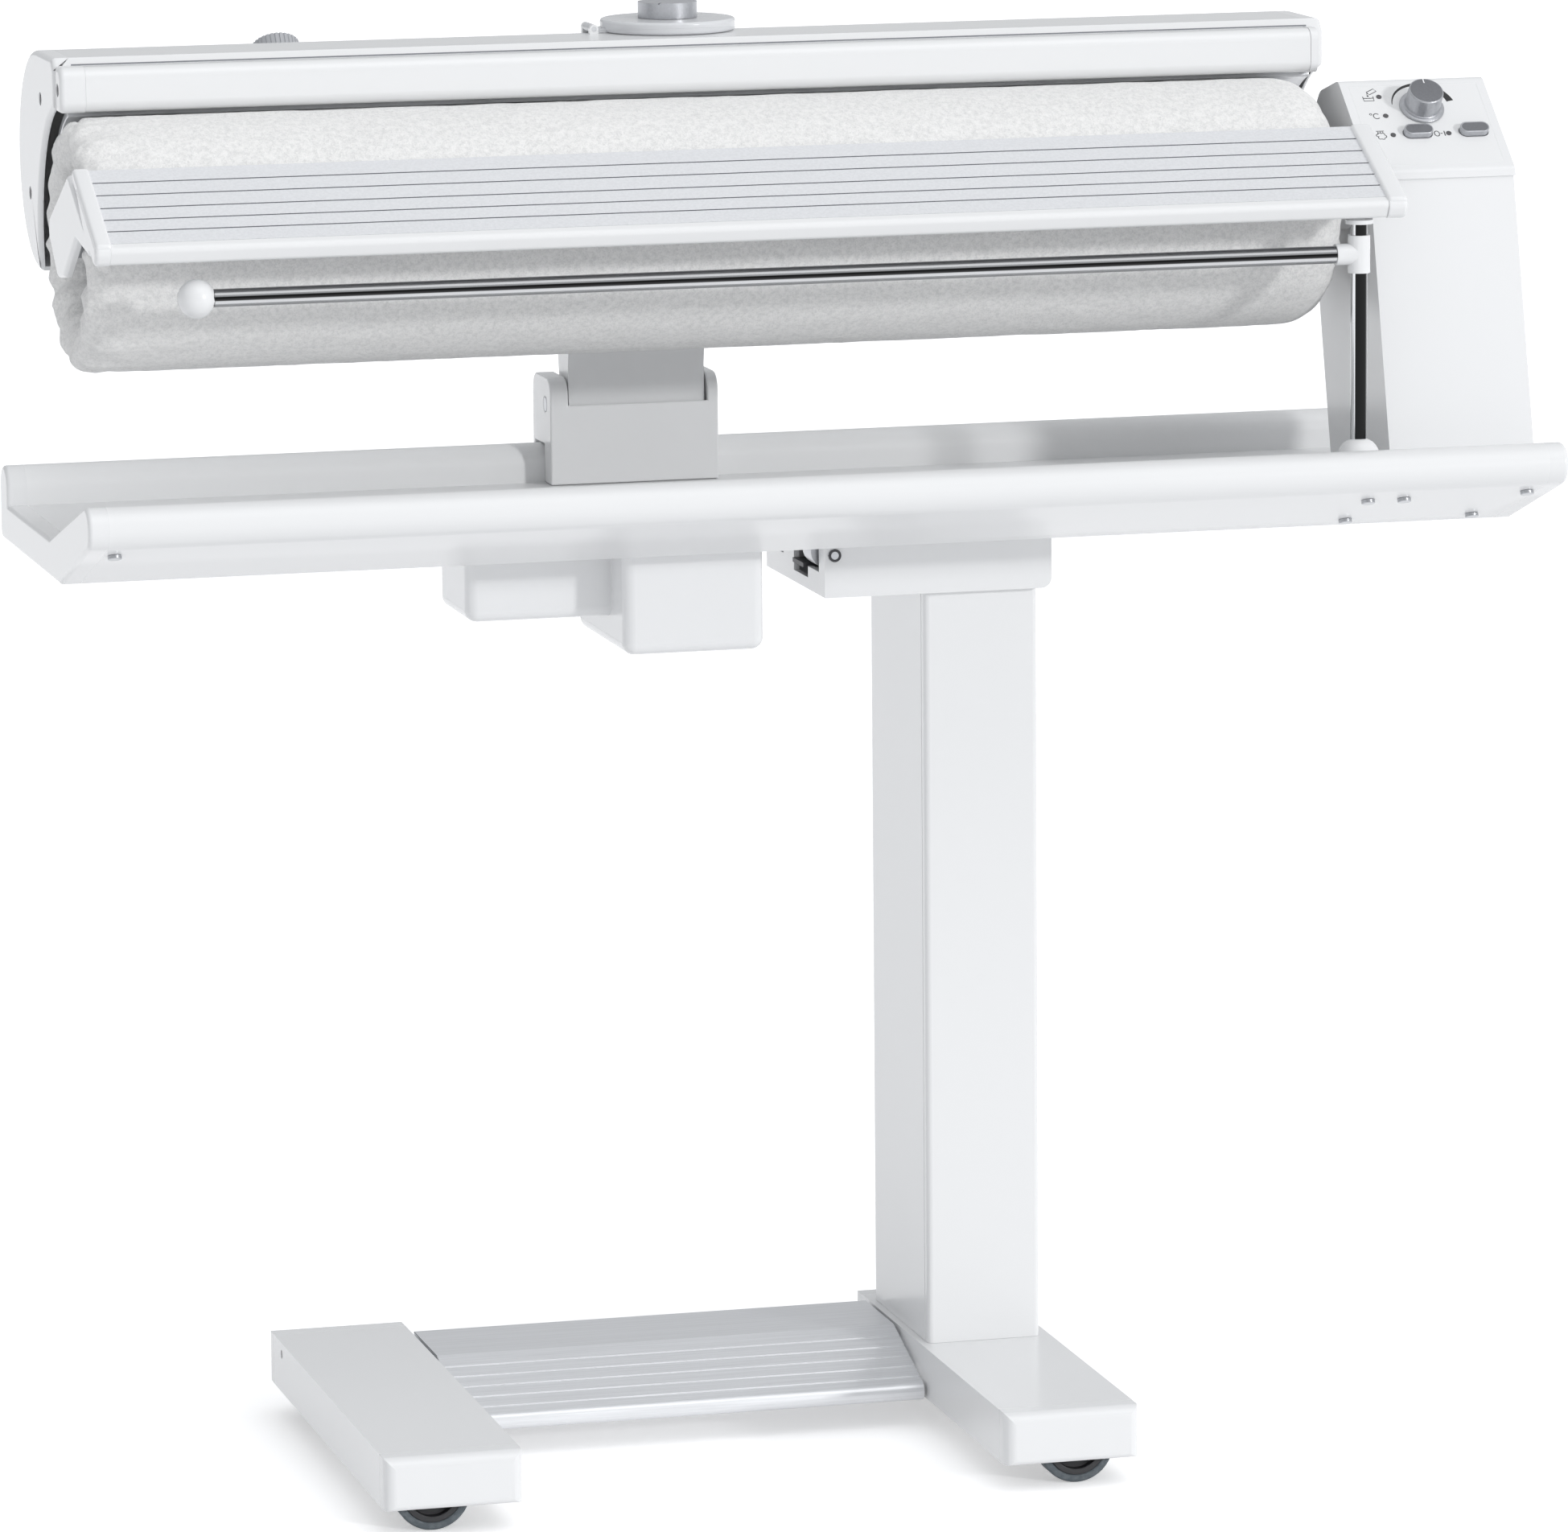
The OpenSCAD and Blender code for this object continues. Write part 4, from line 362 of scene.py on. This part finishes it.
def lathe(name, profile, place, steps=96):
    """Turns a list of (radius, height) in mm about Z, then puts it in place."""
    bm = bmesh.new()
    turns = [(cos(2 * pi * i / steps), sin(2 * pi * i / steps)) for i in range(steps)]
    rings = []
    for r, h in profile:
        spokes = turns if r > 0 else turns[:1]
        rings.append([bm.verts.new((r * MM * x, r * MM * y, h * MM)) for x, y in spokes])
    for low, high in zip(rings, rings[1:]):
        for i in range(steps):
            j = (i + 1) % steps
            corners = [low[i % len(low)], low[j % len(low)], high[j % len(high)], high[i % len(high)]]
            unique = list(dict.fromkeys(corners))
            if len(unique) > 2:
                bm.faces.new(unique)
    bmesh.ops.recalc_face_normals(bm, faces=bm.faces)
    bm.transform(place)
    return shade(mesh_object(name, bm))


def rounded_profile(pairs, radius, steps=4):
    """Rounds the middle corners of a (radius, height) profile."""
    most = 0.49
    result = [pairs[0]]
    for a, p, b in zip(pairs, pairs[1:], pairs[2:]):
        corner = Vector(p)
        u, v = Vector(a) - corner, Vector(b) - corner
        reach = min(radius, u.length * most, v.length * most)
        s, e = corner + u.normalized() * reach, corner + v.normalized() * reach
        for i in range(steps + 1):
            t = i / steps
            q = s * (1 - t) ** 2 + corner * 2 * t * (1 - t) + e * t ** 2
            result.append((q.x, q.y))
    return result + [pairs[-1]]


# roller, measured in the frame

felt_low, felt_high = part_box("roller_felt")
felt_left, felt_right = felt_low.x, felt_high.x
roller_y, roller_z = (felt_low.y + felt_high.y) / 2, (felt_low.z + felt_high.z) / 2
roller_r = (felt_high.z - felt_low.z) / 2


def arc_steps(count):
    return [pi / 2 * i / count for i in range(count + 1)]


def felt_profile():
    """Radii and places of the cover: its left hollow, its outside, and its right hollow."""
    lip = roller_r * 0.6
    left_drop, left_run, left_swell = 10.5 * MM, 17 * MM, 1.5 * MM
    right_drop, right_run, right_swell = 28 * MM, 33 * MM, 0.6 * MM
    start, end, straight = felt_left + 17.5 * MM, felt_right - right_run, 130
    left_lip, right_lip = ((-4, 16), (0, 8), (4, 2), (11, -1.2)), ((0, 4), (-2, 12), (-4, 30))
    profile = [(lip + up * MM, felt_left + along * MM) for up, along in left_lip]
    profile += [(roller_r - left_drop * (1 - sin(a)), felt_left + left_run * (1 - cos(a)) - left_swell)
                for a in arc_steps(10)]
    profile += [(roller_r, start + (end - start) * i / straight) for i in range(1, straight)]
    profile += [(roller_r - right_drop * (1 - cos(a)), end + right_run * sin(a) - right_swell)
                for a in arc_steps(14)]
    return profile + [(lip + up * MM, felt_right - back * MM) for up, back in right_lip]


def felt_shares(r, x):
    """How far a ring takes part in the left gather, the right pull and the folds of the hollow ends."""
    gather_start, gather, pull, hollow, left_part = 4 * MM, 42 * MM, 45 * MM, 30 * MM, 100 * MM
    at_left = x < felt_left + left_part
    near_left = max(0.0, 1 - max(0.0, x - felt_left - gather_start) / gather) ** 1.2
    near_right = max(0.0, 1 - (felt_right - x) / pull)
    inside = max(0.0, min(1.0, (roller_r - r) / hollow)) * (1 if at_left else 0.4)
    return near_left, near_right, inside, 1 if at_left else -1


def unevenness(x, a, along, round_it, shift=0):
    """Smooth noise on the cover, by how often it changes along and round it."""
    return noise.noise(Vector((x * along, round_it * cos(a), round_it * sin(a) + shift)))


def felt_point(r, x, a, shares):
    """One point of the cover, moved by folds, creases, lumps and its uneven nap."""
    folds, creases = 17, 29
    near_left, near_right, inside, inwards = shares
    fold = 0.5 + 0.5 * sin(folds * a + 1.9 * sin(3 * a) + 90 * (roller_r - r) * sin(2 * a + 1))
    crease = 0.5 + 0.5 * sin(creases * a + 2.3 * sin(4 * a + 1) + 1.3 * sin(7 * a))
    lump = max(0.0, unevenness(x, a, 170, 15, 9))
    gathered = (fold * 2.6 + crease * 1.4 + lump * 3.4) * MM * near_left
    pulled = crease * 0.7 * MM * near_right
    nap = (unevenness(x, a, 130, 26) * 0.3 + unevenness(x, a, 40, 8, 5) * 0.5 - 0.3) * MM
    swell = r - gathered - pulled + min(0.0, nap)
    sink = (fold * 7 + crease * 2.5) * MM * inside
    return x + sink * inwards, roller_y + swell * cos(a), roller_z + swell * sin(a)


def felt_cover():
    """The felt sleeve, gathered in folds at the left of the drum and pulled round it at the right."""
    around = 288
    bm = bmesh.new()
    rings = []
    for r, x in felt_profile():
        shares = felt_shares(r, x)
        points = [felt_point(r, x, 2 * pi * i / around, shares) for i in range(around)]
        rings.append([bm.verts.new(p) for p in points])
    for low, high in zip(rings, rings[1:] + rings[:1]):
        for i in range(around):
            j = (i + 1) % around
            bm.faces.new((low[i], low[j], high[j], high[i]))
    bmesh.ops.recalc_face_normals(bm, faces=bm.faces)
    piece = mesh_object("felt_cover", bm)
    piece.data.shade_smooth()
    stand_for(piece, "roller_felt", felt)


def drum():
    """The steel drum in mm, which ends short of the felt's drawn-in ends."""
    low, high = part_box("roller_drum")
    r = (high.z - low.z) / 2 / MM
    bore, left_disc, right_disc = r * 0.13, r * 0.64, r * 0.6
    disc_inset, rim_inset, rim, skin, right_inset = 20, 26, 5, 0.8, 34
    end = (high.x - low.x) / MM - right_inset
    profile = [(bore, disc_inset), (left_disc, disc_inset), (r - rim, rim_inset), (r - skin, rim_inset),
               (r - skin, end), (right_disc, end), (bore, end), (bore, disc_inset)]
    place = Matrix.Translation((low.x, roller_y, roller_z)) @ Matrix.Rotation(pi / 2, 4, "Y")
    stand_for(lathe("drum", profile, place), "roller_drum", drum_metal)


felt_cover()
drum()


# CAD nodes with their edges eased, by a width in mm

for node, width, finish in (
    ("left_foot", 1.0, white_paint), ("right_foot", 1.0, white_paint), ("column", 1.0, white_paint),
    ("wheel_housings", 0.8, black_plastic), ("pedal_plate", 0.4, pedal_metal),
    ("hinge_bracket", 0.9, white_paint), ("hinge_plate", 0.5, steel), ("latch_lever", 0.7, dark_steel),
    ("tray", 0.5, tray_paint), ("feed_nose", 0.5, soft_plastic),
    ("front_rail", 0.5, hood_paint), ("hood_shell", 0.4, hood_paint),
    ("arm_housing", 1.5, white_plastic), ("shoe_arm", 2.0, white_plastic),
    ("bar_fittings", 1.2, white_plastic), ("post_fittings", 0.6, white_plastic),
    ("control_panel", 0.3, soft_plastic), ("steam_dial", 0.3, dial_grey),
    ("lid_knob", 0.8, silver_lacquer), ("filler_lid", 0.5, lid_clear),
    ("heated_shoe", 0.6, shoe_metal), ("tray_screws", 0.5, steel),
    ("column_bolts", 0.5, steel), ("hinge_pin", 0.5, steel), ("arm_pin", 0.5, steel),
    ("laundry_bar", 0.6, rail_chrome), ("rail_post", 0.5, post_chrome),
    ("power_button", 0.7, silver_lacquer), ("steam_button", 0.7, silver_lacquer),
    ("feed_plate", 0.15, deck_metal), ("tower_housing", 1.2, white_plastic),
):
    softened(node, width, finish)

for side in ("front_left", "front_right", "back_left", "back_right"):
    softened("tyre_" + side, 1.6, tyre_grey)
    softened("hub_" + side, 0.6, black_plastic)

box_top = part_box("under_box")[1].z
rounded("under_box", 8.0, lambda a, b: min(a.z, b.z) < box_top - ON_LEVEL, 0.8, white_plastic)
rounded("foot_caps", 5.0, at_ends("foot_caps", 1), 0.5, white_plastic)
rounded("tray_caps", 3.0, at_ends("tray_caps", 0), 0.5, white_plastic)
rounded("plate_caps", 3.0, at_ends("plate_caps", 0), 0.5, white_plastic)

# CAD nodes that only take a finish

for node, finish in {
    "wheel_axles": steel, "cross_tube": steel, "pedal_rod": steel, "pedal_spring": steel,
    "tower_frame": steel, "gear_motor": steel, "roller_shaft": steel, "roller_gear": steel,
    "motor_pinion": steel, "heating_elements": dark_steel, "rest_buffers": buffer_rubber,
    "water_tank": tank_milky, "indicator_lamps": lamp_lens,
}.items():
    finish_with(nodes[node], finish)


# hood caps and the screws in them

def rim_loops(bm):
    """Rings of vertices round the holes and outlines of the faces that look left."""
    beside = {}
    looks_left, looks_sideways = -0.99, 0.1
    for e in bm.edges:
        tilt = sorted(f.normal.x for f in e.link_faces)
        if len(tilt) == 2 and tilt[0] < looks_left and abs(tilt[1]) < looks_sideways:
            for v in e.verts:
                beside.setdefault(v, []).append(e.other_vert(v))
    loops, seen = [], set()
    for start in beside:
        loop, todo = [], [start]
        while todo:
            v = todo.pop()
            if v not in seen:
                seen.add(v)
                loop.append(v.co.copy())
                todo += beside[v]
        loops.append(loop)
    return loops


def bores(node):
    """Middle and radius of each round hole in the faces of a node that look left."""
    fewest, widest, out_of_round = 8, 14 * MM, 0.6 * MM
    bm = merged(node)
    found = []
    for loop in rim_loops(bm):
        if len(loop) >= fewest:
            low, high = (Vector([pick(p[i] for p in loop) for i in range(3)]) for pick in (min, max))
            wide, tall = high.y - low.y, high.z - low.z
            if abs(wide - tall) < out_of_round and wide < widest:
                found.append(((low + high) / 2, wide / 2))
    bm.free()
    return found


hood_bores = bores("hood_caps")


def cap_edge(a, b):
    """Edges of the hood caps' outer faces and the rail's end block, but not of the screw holes."""
    levels = [p.x for p, r in hood_bores] + [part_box("hood_caps")[1].x]
    middle = (a + b) / 2
    return on_level(a, b, 0, levels) and all((middle.yz - p.yz).length > 2 * r for p, r in hood_bores)


def cap_screw(name, middle, r):
    """A screw head that lies a little below the rim of its hole, whose radius is in mm."""
    sunk, gap, crown = 1.1, 0.05, 0.5
    profile = [(r - gap, -1.0), (r - gap, 0.1), (r - crown, 0.35), (0, 0.3)]
    place = Matrix.Translation(middle + Vector((sunk * MM, 0, 0))) @ Matrix.Rotation(-pi / 2, 4, "Y")
    carry(lathe(name, profile, place, 32), body_of["hood_caps"], black_plastic)


rounded("hood_caps", 3.5, cap_edge, 0.4, white_plastic)
for i, (middle, r) in enumerate(hood_bores):
    cap_screw(f"cap_screw_{i}", middle, r / MM)


# grooves, ridges and seams

def plane_of(face):
    """Tilt and level, in mm, of the plane in which a face lies."""
    return round(face.normal.y, 1), round(face.normal.dot(face.center) / MM)


def paint_groove_shade(node):
    """Gives the floors and walls of a plate's grooves a dark finish: painted shade, where shade falls in
    them.
    """
    shallow, deep = 0.1, 1.3
    mesh = bpy.data.objects[node + "_finished"].data
    areas = {}
    for f in mesh.polygons:
        if f.normal.z > FACES_UP:
            areas[plane_of(f)] = areas.get(plane_of(f), 0) + f.area
    level = max(areas, key=areas.get)
    top = max((f for f in mesh.polygons if plane_of(f) == level), key=lambda f: f.area)
    mesh.materials.append(groove_painted_shade.material)
    for f in mesh.polygons:
        below = top.normal.dot(top.center - f.center) / MM
        if shallow < below < deep and f.normal.dot(top.normal) > -0.1:
            f.material_index = 1


paint_groove_shade("feed_plate")
paint_groove_shade("pedal_plate")

deck_low, deck_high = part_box("feed_plate")
caps_low, caps_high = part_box("plate_caps")
plate_points = sorted({(round(v.co.y, 6), round(v.co.z, 6)) for v in nodes["feed_plate"].data.vertices})
plate_back = Vector(max(plate_points, key=lambda p: p[1]))
plate_front = Vector(max((p for p in plate_points if p[0] < deck_low.y + 0.5 * MM), key=lambda p: p[1]))
slope = (plate_front - plate_back).normalized()
plate_out = Vector((slope.y, -slope.x))


def plate_ridge(name, left, right):
    """The rounded border of a plate cap, which stands a little over the deck."""
    rise, sunk = 2.4 * MM, 6 * MM
    length = (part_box("feed_nose")[0].y - plate_back.x) / slope.x
    bm = bmesh.new()
    bmesh.ops.create_cube(bm, size=1)
    for v in bm.verts:
        off = rise if v.co.z > 0 else -sunk
        point = plate_back + slope * (length * (v.co.y + 0.5)) + plate_out * off
        v.co = Vector((left if v.co.x < 0 else right, point.x, point.y))
    bmesh.ops.recalc_face_normals(bm, faces=bm.faces)
    bmesh.ops.bevel(bm, geom=bm.edges[:], offset=rise, segments=5, affect="EDGES", profile=0.5)
    carry(shade(mesh_object(name, bm), 50), "head", white_plastic)


plate_ridge("left_cap_ridge", caps_low.x + 0.3 * MM, deck_low.x + 1.2 * MM)
plate_ridge("right_cap_ridge", deck_high.x - 0.6 * MM, caps_high.x - 0.4 * MM)


def hood_shade_line(name, y, z, across):
    """A thin strip of painted shade along the hood, as wide as a vector."""
    low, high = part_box("hood_shell")
    a, b = Vector((low.x, y, z)), Vector((high.x, y, z))
    bm = bmesh.new()
    bm.faces.new([bm.verts.new(p) for p in (a, b, b + across, a + across)])
    carry(mesh_object(name, bm), "steam_shoe", groove_painted_shade)


# painted shade in the seam over the front rail and in the crease along the hood's top
bar_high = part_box("front_rail")[1]
hood_shade_line("hood_seam", bar_high.y - 0.2 * MM, bar_high.z + 0.3 * MM, Vector((0, 0, 0.9 * MM)))
hood_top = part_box("hood_shell")[1].z
hood_shade_line("hood_crease", bar_high.y + 8.3 * MM, hood_top + 0.08 * MM, Vector((0, 0.7 * MM, 0)))


def pin_ring():
    """The dark ring round the near end of the hinge pin."""
    low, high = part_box("hinge_pin")
    middle = (low + high) / 2
    place = Matrix.Translation((middle.x, low.y + 0.1 * MM, middle.z)) @ Matrix.Rotation(pi / 2, 4, "X")
    profile = [(2.6, 0), (2.7, 0.4), (3.3, 0.6), (4.2, 0.4), (4.4, 0), (2.6, 0)]
    carry(lathe("pin_ring", profile, place, 48), body_of["hinge_pin"], dark_steel)


pin_ring()


# control panel, drawn in mm to the right of and up the slope from its corner

def panel_frame():
    """Start, up-slope and outward directions of the panel, read from its mesh."""
    bm = merged("control_panel")
    top = max((f for f in bm.faces if f.normal.z > FACES_UP), key=lambda f: f.calc_area())
    out = top.normal.copy()
    rise = out.cross(Vector((1, 0, 0))).normalized()
    if rise.z < 0:
        rise = -rise
    reach = max(v.co.dot(out) for v in bm.verts)
    low = min(v.co.dot(rise) for v in bm.verts)
    left = min(v.co.x for v in bm.verts)
    bm.free()
    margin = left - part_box("tower_housing")[0].x
    start = out * reach + rise * (low - margin) + Vector((left - margin, 0, 0))
    return start, rise, out


panel_start, panel_rise, panel_out = panel_frame()


def on_panel(x, s, h=0.0):
    """The point x to the right, s up the slope and h above the panel."""
    return panel_start + Vector((x * MM, 0, 0)) + panel_rise * s * MM + panel_out * h * MM


def panel_spot(node):
    """Panel coordinates of the middle of a node."""
    low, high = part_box(node)
    away = (low + high) / 2 - panel_start
    return away.x / MM, away.dot(panel_rise) / MM


def ribbons(name, lines, finish, height=0.05, body="head"):
    """Printed lines: each is a list of (x, s, width), drawn as one thin strip."""
    bm = bmesh.new()
    for line in lines:
        sides = []
        for i, (x, s, w) in enumerate(line):
            before, after = line[max(i - 1, 0)], line[min(i + 1, len(line) - 1)]
            along = Vector((after[0] - before[0], after[1] - before[1])).normalized()
            across = Vector((-along.y, along.x)) * w / 2
            ends = [on_panel(x + across.x * k, s + across.y * k, height) for k in (1, -1)]
            sides.append([bm.verts.new(p) for p in ends])
        for (a, b), (c, d) in zip(sides, sides[1:]):
            bm.faces.new((a, b, d, c))
    for f in bm.faces:
        f.normal_update()
        if f.normal.dot(panel_out) < 0:
            f.normal_flip()
    carry(mesh_object(name, bm), body, finish)


STROKE = 0.58


def plain_line(points, w=STROKE, closed=False):
    points = list(points) + ([points[0]] if closed else [])
    return [(x, s, w) for x, s in points]


def round_line(x, s, rx, rs, start, end, w=STROKE, steps=24, end_w=None):
    """An arc round (x, s) from one angle in degrees to another, which may change its width."""
    last = w if end_w is None else end_w
    shares = [i / steps for i in range(steps + 1)]
    turns = [radians(start + (end - start) * t) for t in shares]
    return [(x + rx * cos(a), s + rs * sin(a), w + (last - w) * t) for a, t in zip(turns, shares)]


def printed_panel():
    """The small marks: a jug over water, degrees C, a steam cloud, 0-I, and the temperature scale."""
    leaning = ((15.4, -0.5), (16.9, 0), (18.4, 0.5))
    jug = plain_line([(16.9, 75.4), (22.4, 78.5), (24.0, 76.1), (18.5, 73.0)], closed=True)
    basin = plain_line([(13.3, 71.4), (13.4, 67.2), (20.4, 67.2), (20.5, 71.4)])
    water = [(13.6 + 0.225 * i, 69.7 + 0.28 * sin(i * 1.35), 0.5) for i in range(30)]
    drop = round_line(17.0, 71.9, 0.35, 0.5, 0, 360, 0.7, 16)
    lid = plain_line([(17.5, 74.6), (16.7, 73.4)], 0.6)
    degree = round_line(14.6, 54.4, 0.75, 0.75, 0, 360, 0.45, 18)
    letter_c = round_line(18.3, 52.5, 2.15, 2.4, 42, 318, 0.65)
    bar = plain_line([(14.2, 38.3), (19.6, 38.3)])
    jets = [plain_line([(x, 37.8), (x + lean, 36.2)], 0.45) for x, lean in leaning]
    puffs = ((14.6, 34.3, 1.15, 60, 300), (16.0, 35.5, 1.2, 20, 175), (18.2, 35.1, 1.25, -30, 130),
             (19.2, 33.2, 1.15, -110, 80), (17.6, 31.8, 1.25, -150, -20), (15.6, 32.0, 1.2, -220, -50))
    cloud = [round_line(x, s, r, r, start, end, steps=14) for x, s, r, start, end in puffs]
    zero = round_line(55.8, 34.2, 1.75, 2.35, 0, 360, 0.65, 28)
    dash = plain_line([(58.4, 34.3), (59.8, 34.3)], 0.65)
    one = plain_line([(61.2, 36.5), (61.2, 31.9)], 0.7)
    marks = [jug, basin, water, drop, lid, degree, letter_c, bar, *jets, *cloud, zero, dash, one]
    ribbons("printed_icons", marks, ink)

    knob_x, knob_s = panel_spot("temperature_knob")
    x, s, r = knob_x + 1.0, knob_s + 1.2, 20.8
    scale = round_line(x, s, r, r, 172, 80, 0.5, 40, 3.0)
    scale += round_line(x, s, r, r, 78, 12, 3.05, 30, 5.0)
    ribbons("temperature_scale", [scale], black_ink)


def button_top(node, body):
    """The darker face of a button, a thin rounded strip on its silver side."""
    rim, lift = 0.9, 0.05
    x, s = panel_spot(node)
    inside = [v.co - panel_start for v in bpy.data.objects[node + "_finished"].data.vertices]
    rises = [v.dot(panel_rise) for v in inside]
    high = max(v.dot(panel_out) for v in inside) / MM + lift
    half = (max(v.x for v in inside) - min(v.x for v in inside)) / 2 / MM - rim
    turn = (max(rises) - min(rises)) / MM / 2 - rim
    edge = [(half - turn + turn * cos(radians(a)), turn * sin(radians(a))) for a in range(-90, 91, 15)]
    edge += [(-dx, dy) for dx, dy in edge[::-1]]
    bm = bmesh.new()
    bm.faces.new([bm.verts.new(on_panel(x + dx, s + dy, high)) for dx, dy in edge])
    carry(mesh_object(node + "_top", bm), body, knob_grey)


def heat_knob():
    """The temperature knob: a silver side, a darker top and a white mark on it."""
    x, s = panel_spot("temperature_knob")
    turn = Matrix((Vector((1, 0, 0)), panel_rise, panel_out)).transposed().to_4x4()
    place = Matrix.Translation(on_panel(x, s)) @ turn
    corners = [(0, 0.3), (15.2, 0.3), (15.2, 1.6), (13.4, 2.3), (12.6, 2.3), (12.0, 3.0),
               (11.8, 15.4), (11.2, 16.0), (10.9, 15.9)]
    side = lathe("knob_side", rounded_profile(corners, 0.7), place)
    stand_for(side, "temperature_knob", silver_lacquer)
    top = lathe("knob_top", [(11.0, 15.7), (10.9, 15.95), (8.0, 16.2), (4.0, 16.3), (0, 16.3)], place)
    carry(top, "heat_knob", knob_grey)
    mark = plain_line([(x, s + 6.6), (x, s + 10.6)], 0.9)
    ribbons("knob_mark", [mark], white_plastic, 16.42, "heat_knob")


printed_panel()
button_top("power_button", "power_key")
button_top("steam_button", "steam_key")
heat_knob()


# room, light and camera

def pale_floor():
    """A white floor that takes shadows, and glows a little where it is seen or mirrored."""
    reach, glow, rays = 30, 0.4, ("Camera", "Glossy", "Transmission")
    pale = Finish("pale_floor", roughness=0.9, specular_ior_level=0.1, emission_color=(1, 1, 1))
    seen, mirrored, behind = (pale.add("ShaderNodeLightPath", {}, {}, f"Is {ray} Ray") for ray in rays)
    pale.set(emission_strength=seen.most(mirrored).most(behind) * glow)
    pale.set(base_color=pale.blend(pale.spots(2.0), (0.93, 0.93, 0.935), (0.94, 0.94, 0.945)))
    mesh = bpy.data.meshes.new("floor")
    corners = [(-reach, -reach, 0), (reach, -reach, 0), (reach, reach, 0), (-reach, reach, 0)]
    mesh.from_pydata(corners, [], [(0, 1, 2, 3)])
    floor = bpy.data.objects.new("floor", mesh)
    bpy.context.scene.collection.objects.link(floor)
    finish_with(floor, pale)


def studio_light():
    """A soft sky, brightest overhead and a little to the front right; the camera sees plain white."""
    brightest, ramp = (0.3, -0.2, 0.93), (-0.9, 1.0, 0.36, 0.8)
    world = bpy.data.worlds.new("studio")
    world.use_nodes = True
    bpy.context.scene.world = world
    sky = world.node_tree
    sky.nodes.clear()
    made = {kind: sky.nodes.new("ShaderNode" + kind) for kind in
            ("TexCoord", "VectorMath", "MapRange", "Math", "MixShader", "LightPath", "OutputWorld")}
    lit, seen = sky.nodes.new("ShaderNodeBackground"), sky.nodes.new("ShaderNodeBackground")
    made["Math"].operation = "MAXIMUM"
    made["VectorMath"].operation = "DOT_PRODUCT"
    made["VectorMath"].inputs[1].default_value = brightest
    for name, value in zip(("From Min", "From Max", "To Min", "To Max"), ramp):
        made["MapRange"].inputs[name].default_value = value
    lit.inputs[0].default_value = (0.965, 0.98, 1.0, 1)
    seen.inputs[0].default_value = (1, 1, 1, 1)
    for a, b in (
        (made["TexCoord"].outputs["Generated"], made["VectorMath"].inputs[0]),
        (made["VectorMath"].outputs["Value"], made["MapRange"].inputs["Value"]),
        (made["MapRange"].outputs[0], lit.inputs[1]),
        (made["LightPath"].outputs["Is Camera Ray"], made["Math"].inputs[0]),
        (made["LightPath"].outputs["Is Transmission Ray"], made["Math"].inputs[1]),
        (made["Math"].outputs[0], made["MixShader"].inputs[0]),
        (lit.outputs[0], made["MixShader"].inputs[1]),
        (seen.outputs[0], made["MixShader"].inputs[2]),
        (made["MixShader"].outputs[0], made["OutputWorld"].inputs[0]),
    ):
        sky.links.new(a, b)


def sun(name, place, power, spread):
    """A sun that shines from a place towards the machine; its spread is in degrees."""
    middle = Vector((0, 0, 0.6))
    data = bpy.data.lights.new(name, "SUN")
    data.energy, data.angle = power, radians(spread)
    made = bpy.data.objects.new(name, data)
    bpy.context.scene.collection.objects.link(made)
    made.location = place
    made.rotation_euler = (middle - Vector(place)).to_track_quat("-Z", "Y").to_euler()


def fitted_camera():
    """The photograph's camera, whose place, turn and lens were fitted to the object's edges."""
    place = (-1.43227, -5.50913, 1.44624)
    yaw, pitch, roll = radians(-14.31), radians(9.8), radians(-0.55)
    forward = Vector((-sin(yaw) * cos(pitch), cos(yaw) * cos(pitch), -sin(pitch)))
    flat_right = Vector((cos(yaw), sin(yaw), 0))
    flat_up = flat_right.cross(forward)
    right = flat_right * cos(roll) + flat_up * sin(roll)
    up = flat_up * cos(roll) - flat_right * sin(roll)
    lens = bpy.data.cameras.new("camera")
    lens.sensor_fit, lens.sensor_width, lens.lens = "HORIZONTAL", 36.0, 198.73
    lens.shift_x, lens.shift_y = 0.0319, -0.0003
    lens.clip_end = 100
    camera = bpy.data.objects.new("camera", lens)
    bpy.context.scene.collection.objects.link(camera)
    rows = [(right[i], up[i], -forward[i], place[i]) for i in range(3)]
    camera.matrix_world = Matrix((*rows, (0, 0, 0, 1)))
    bpy.context.scene.camera = camera


pale_floor()
studio_light()
sun("key", (2.9, -3.86, 1.9), power=1.05, spread=5)
sun("top", (1.1, -2.6, 5.4), power=0.4, spread=40)
fitted_camera()
bpy.context.scene.view_settings.view_transform = "Standard"
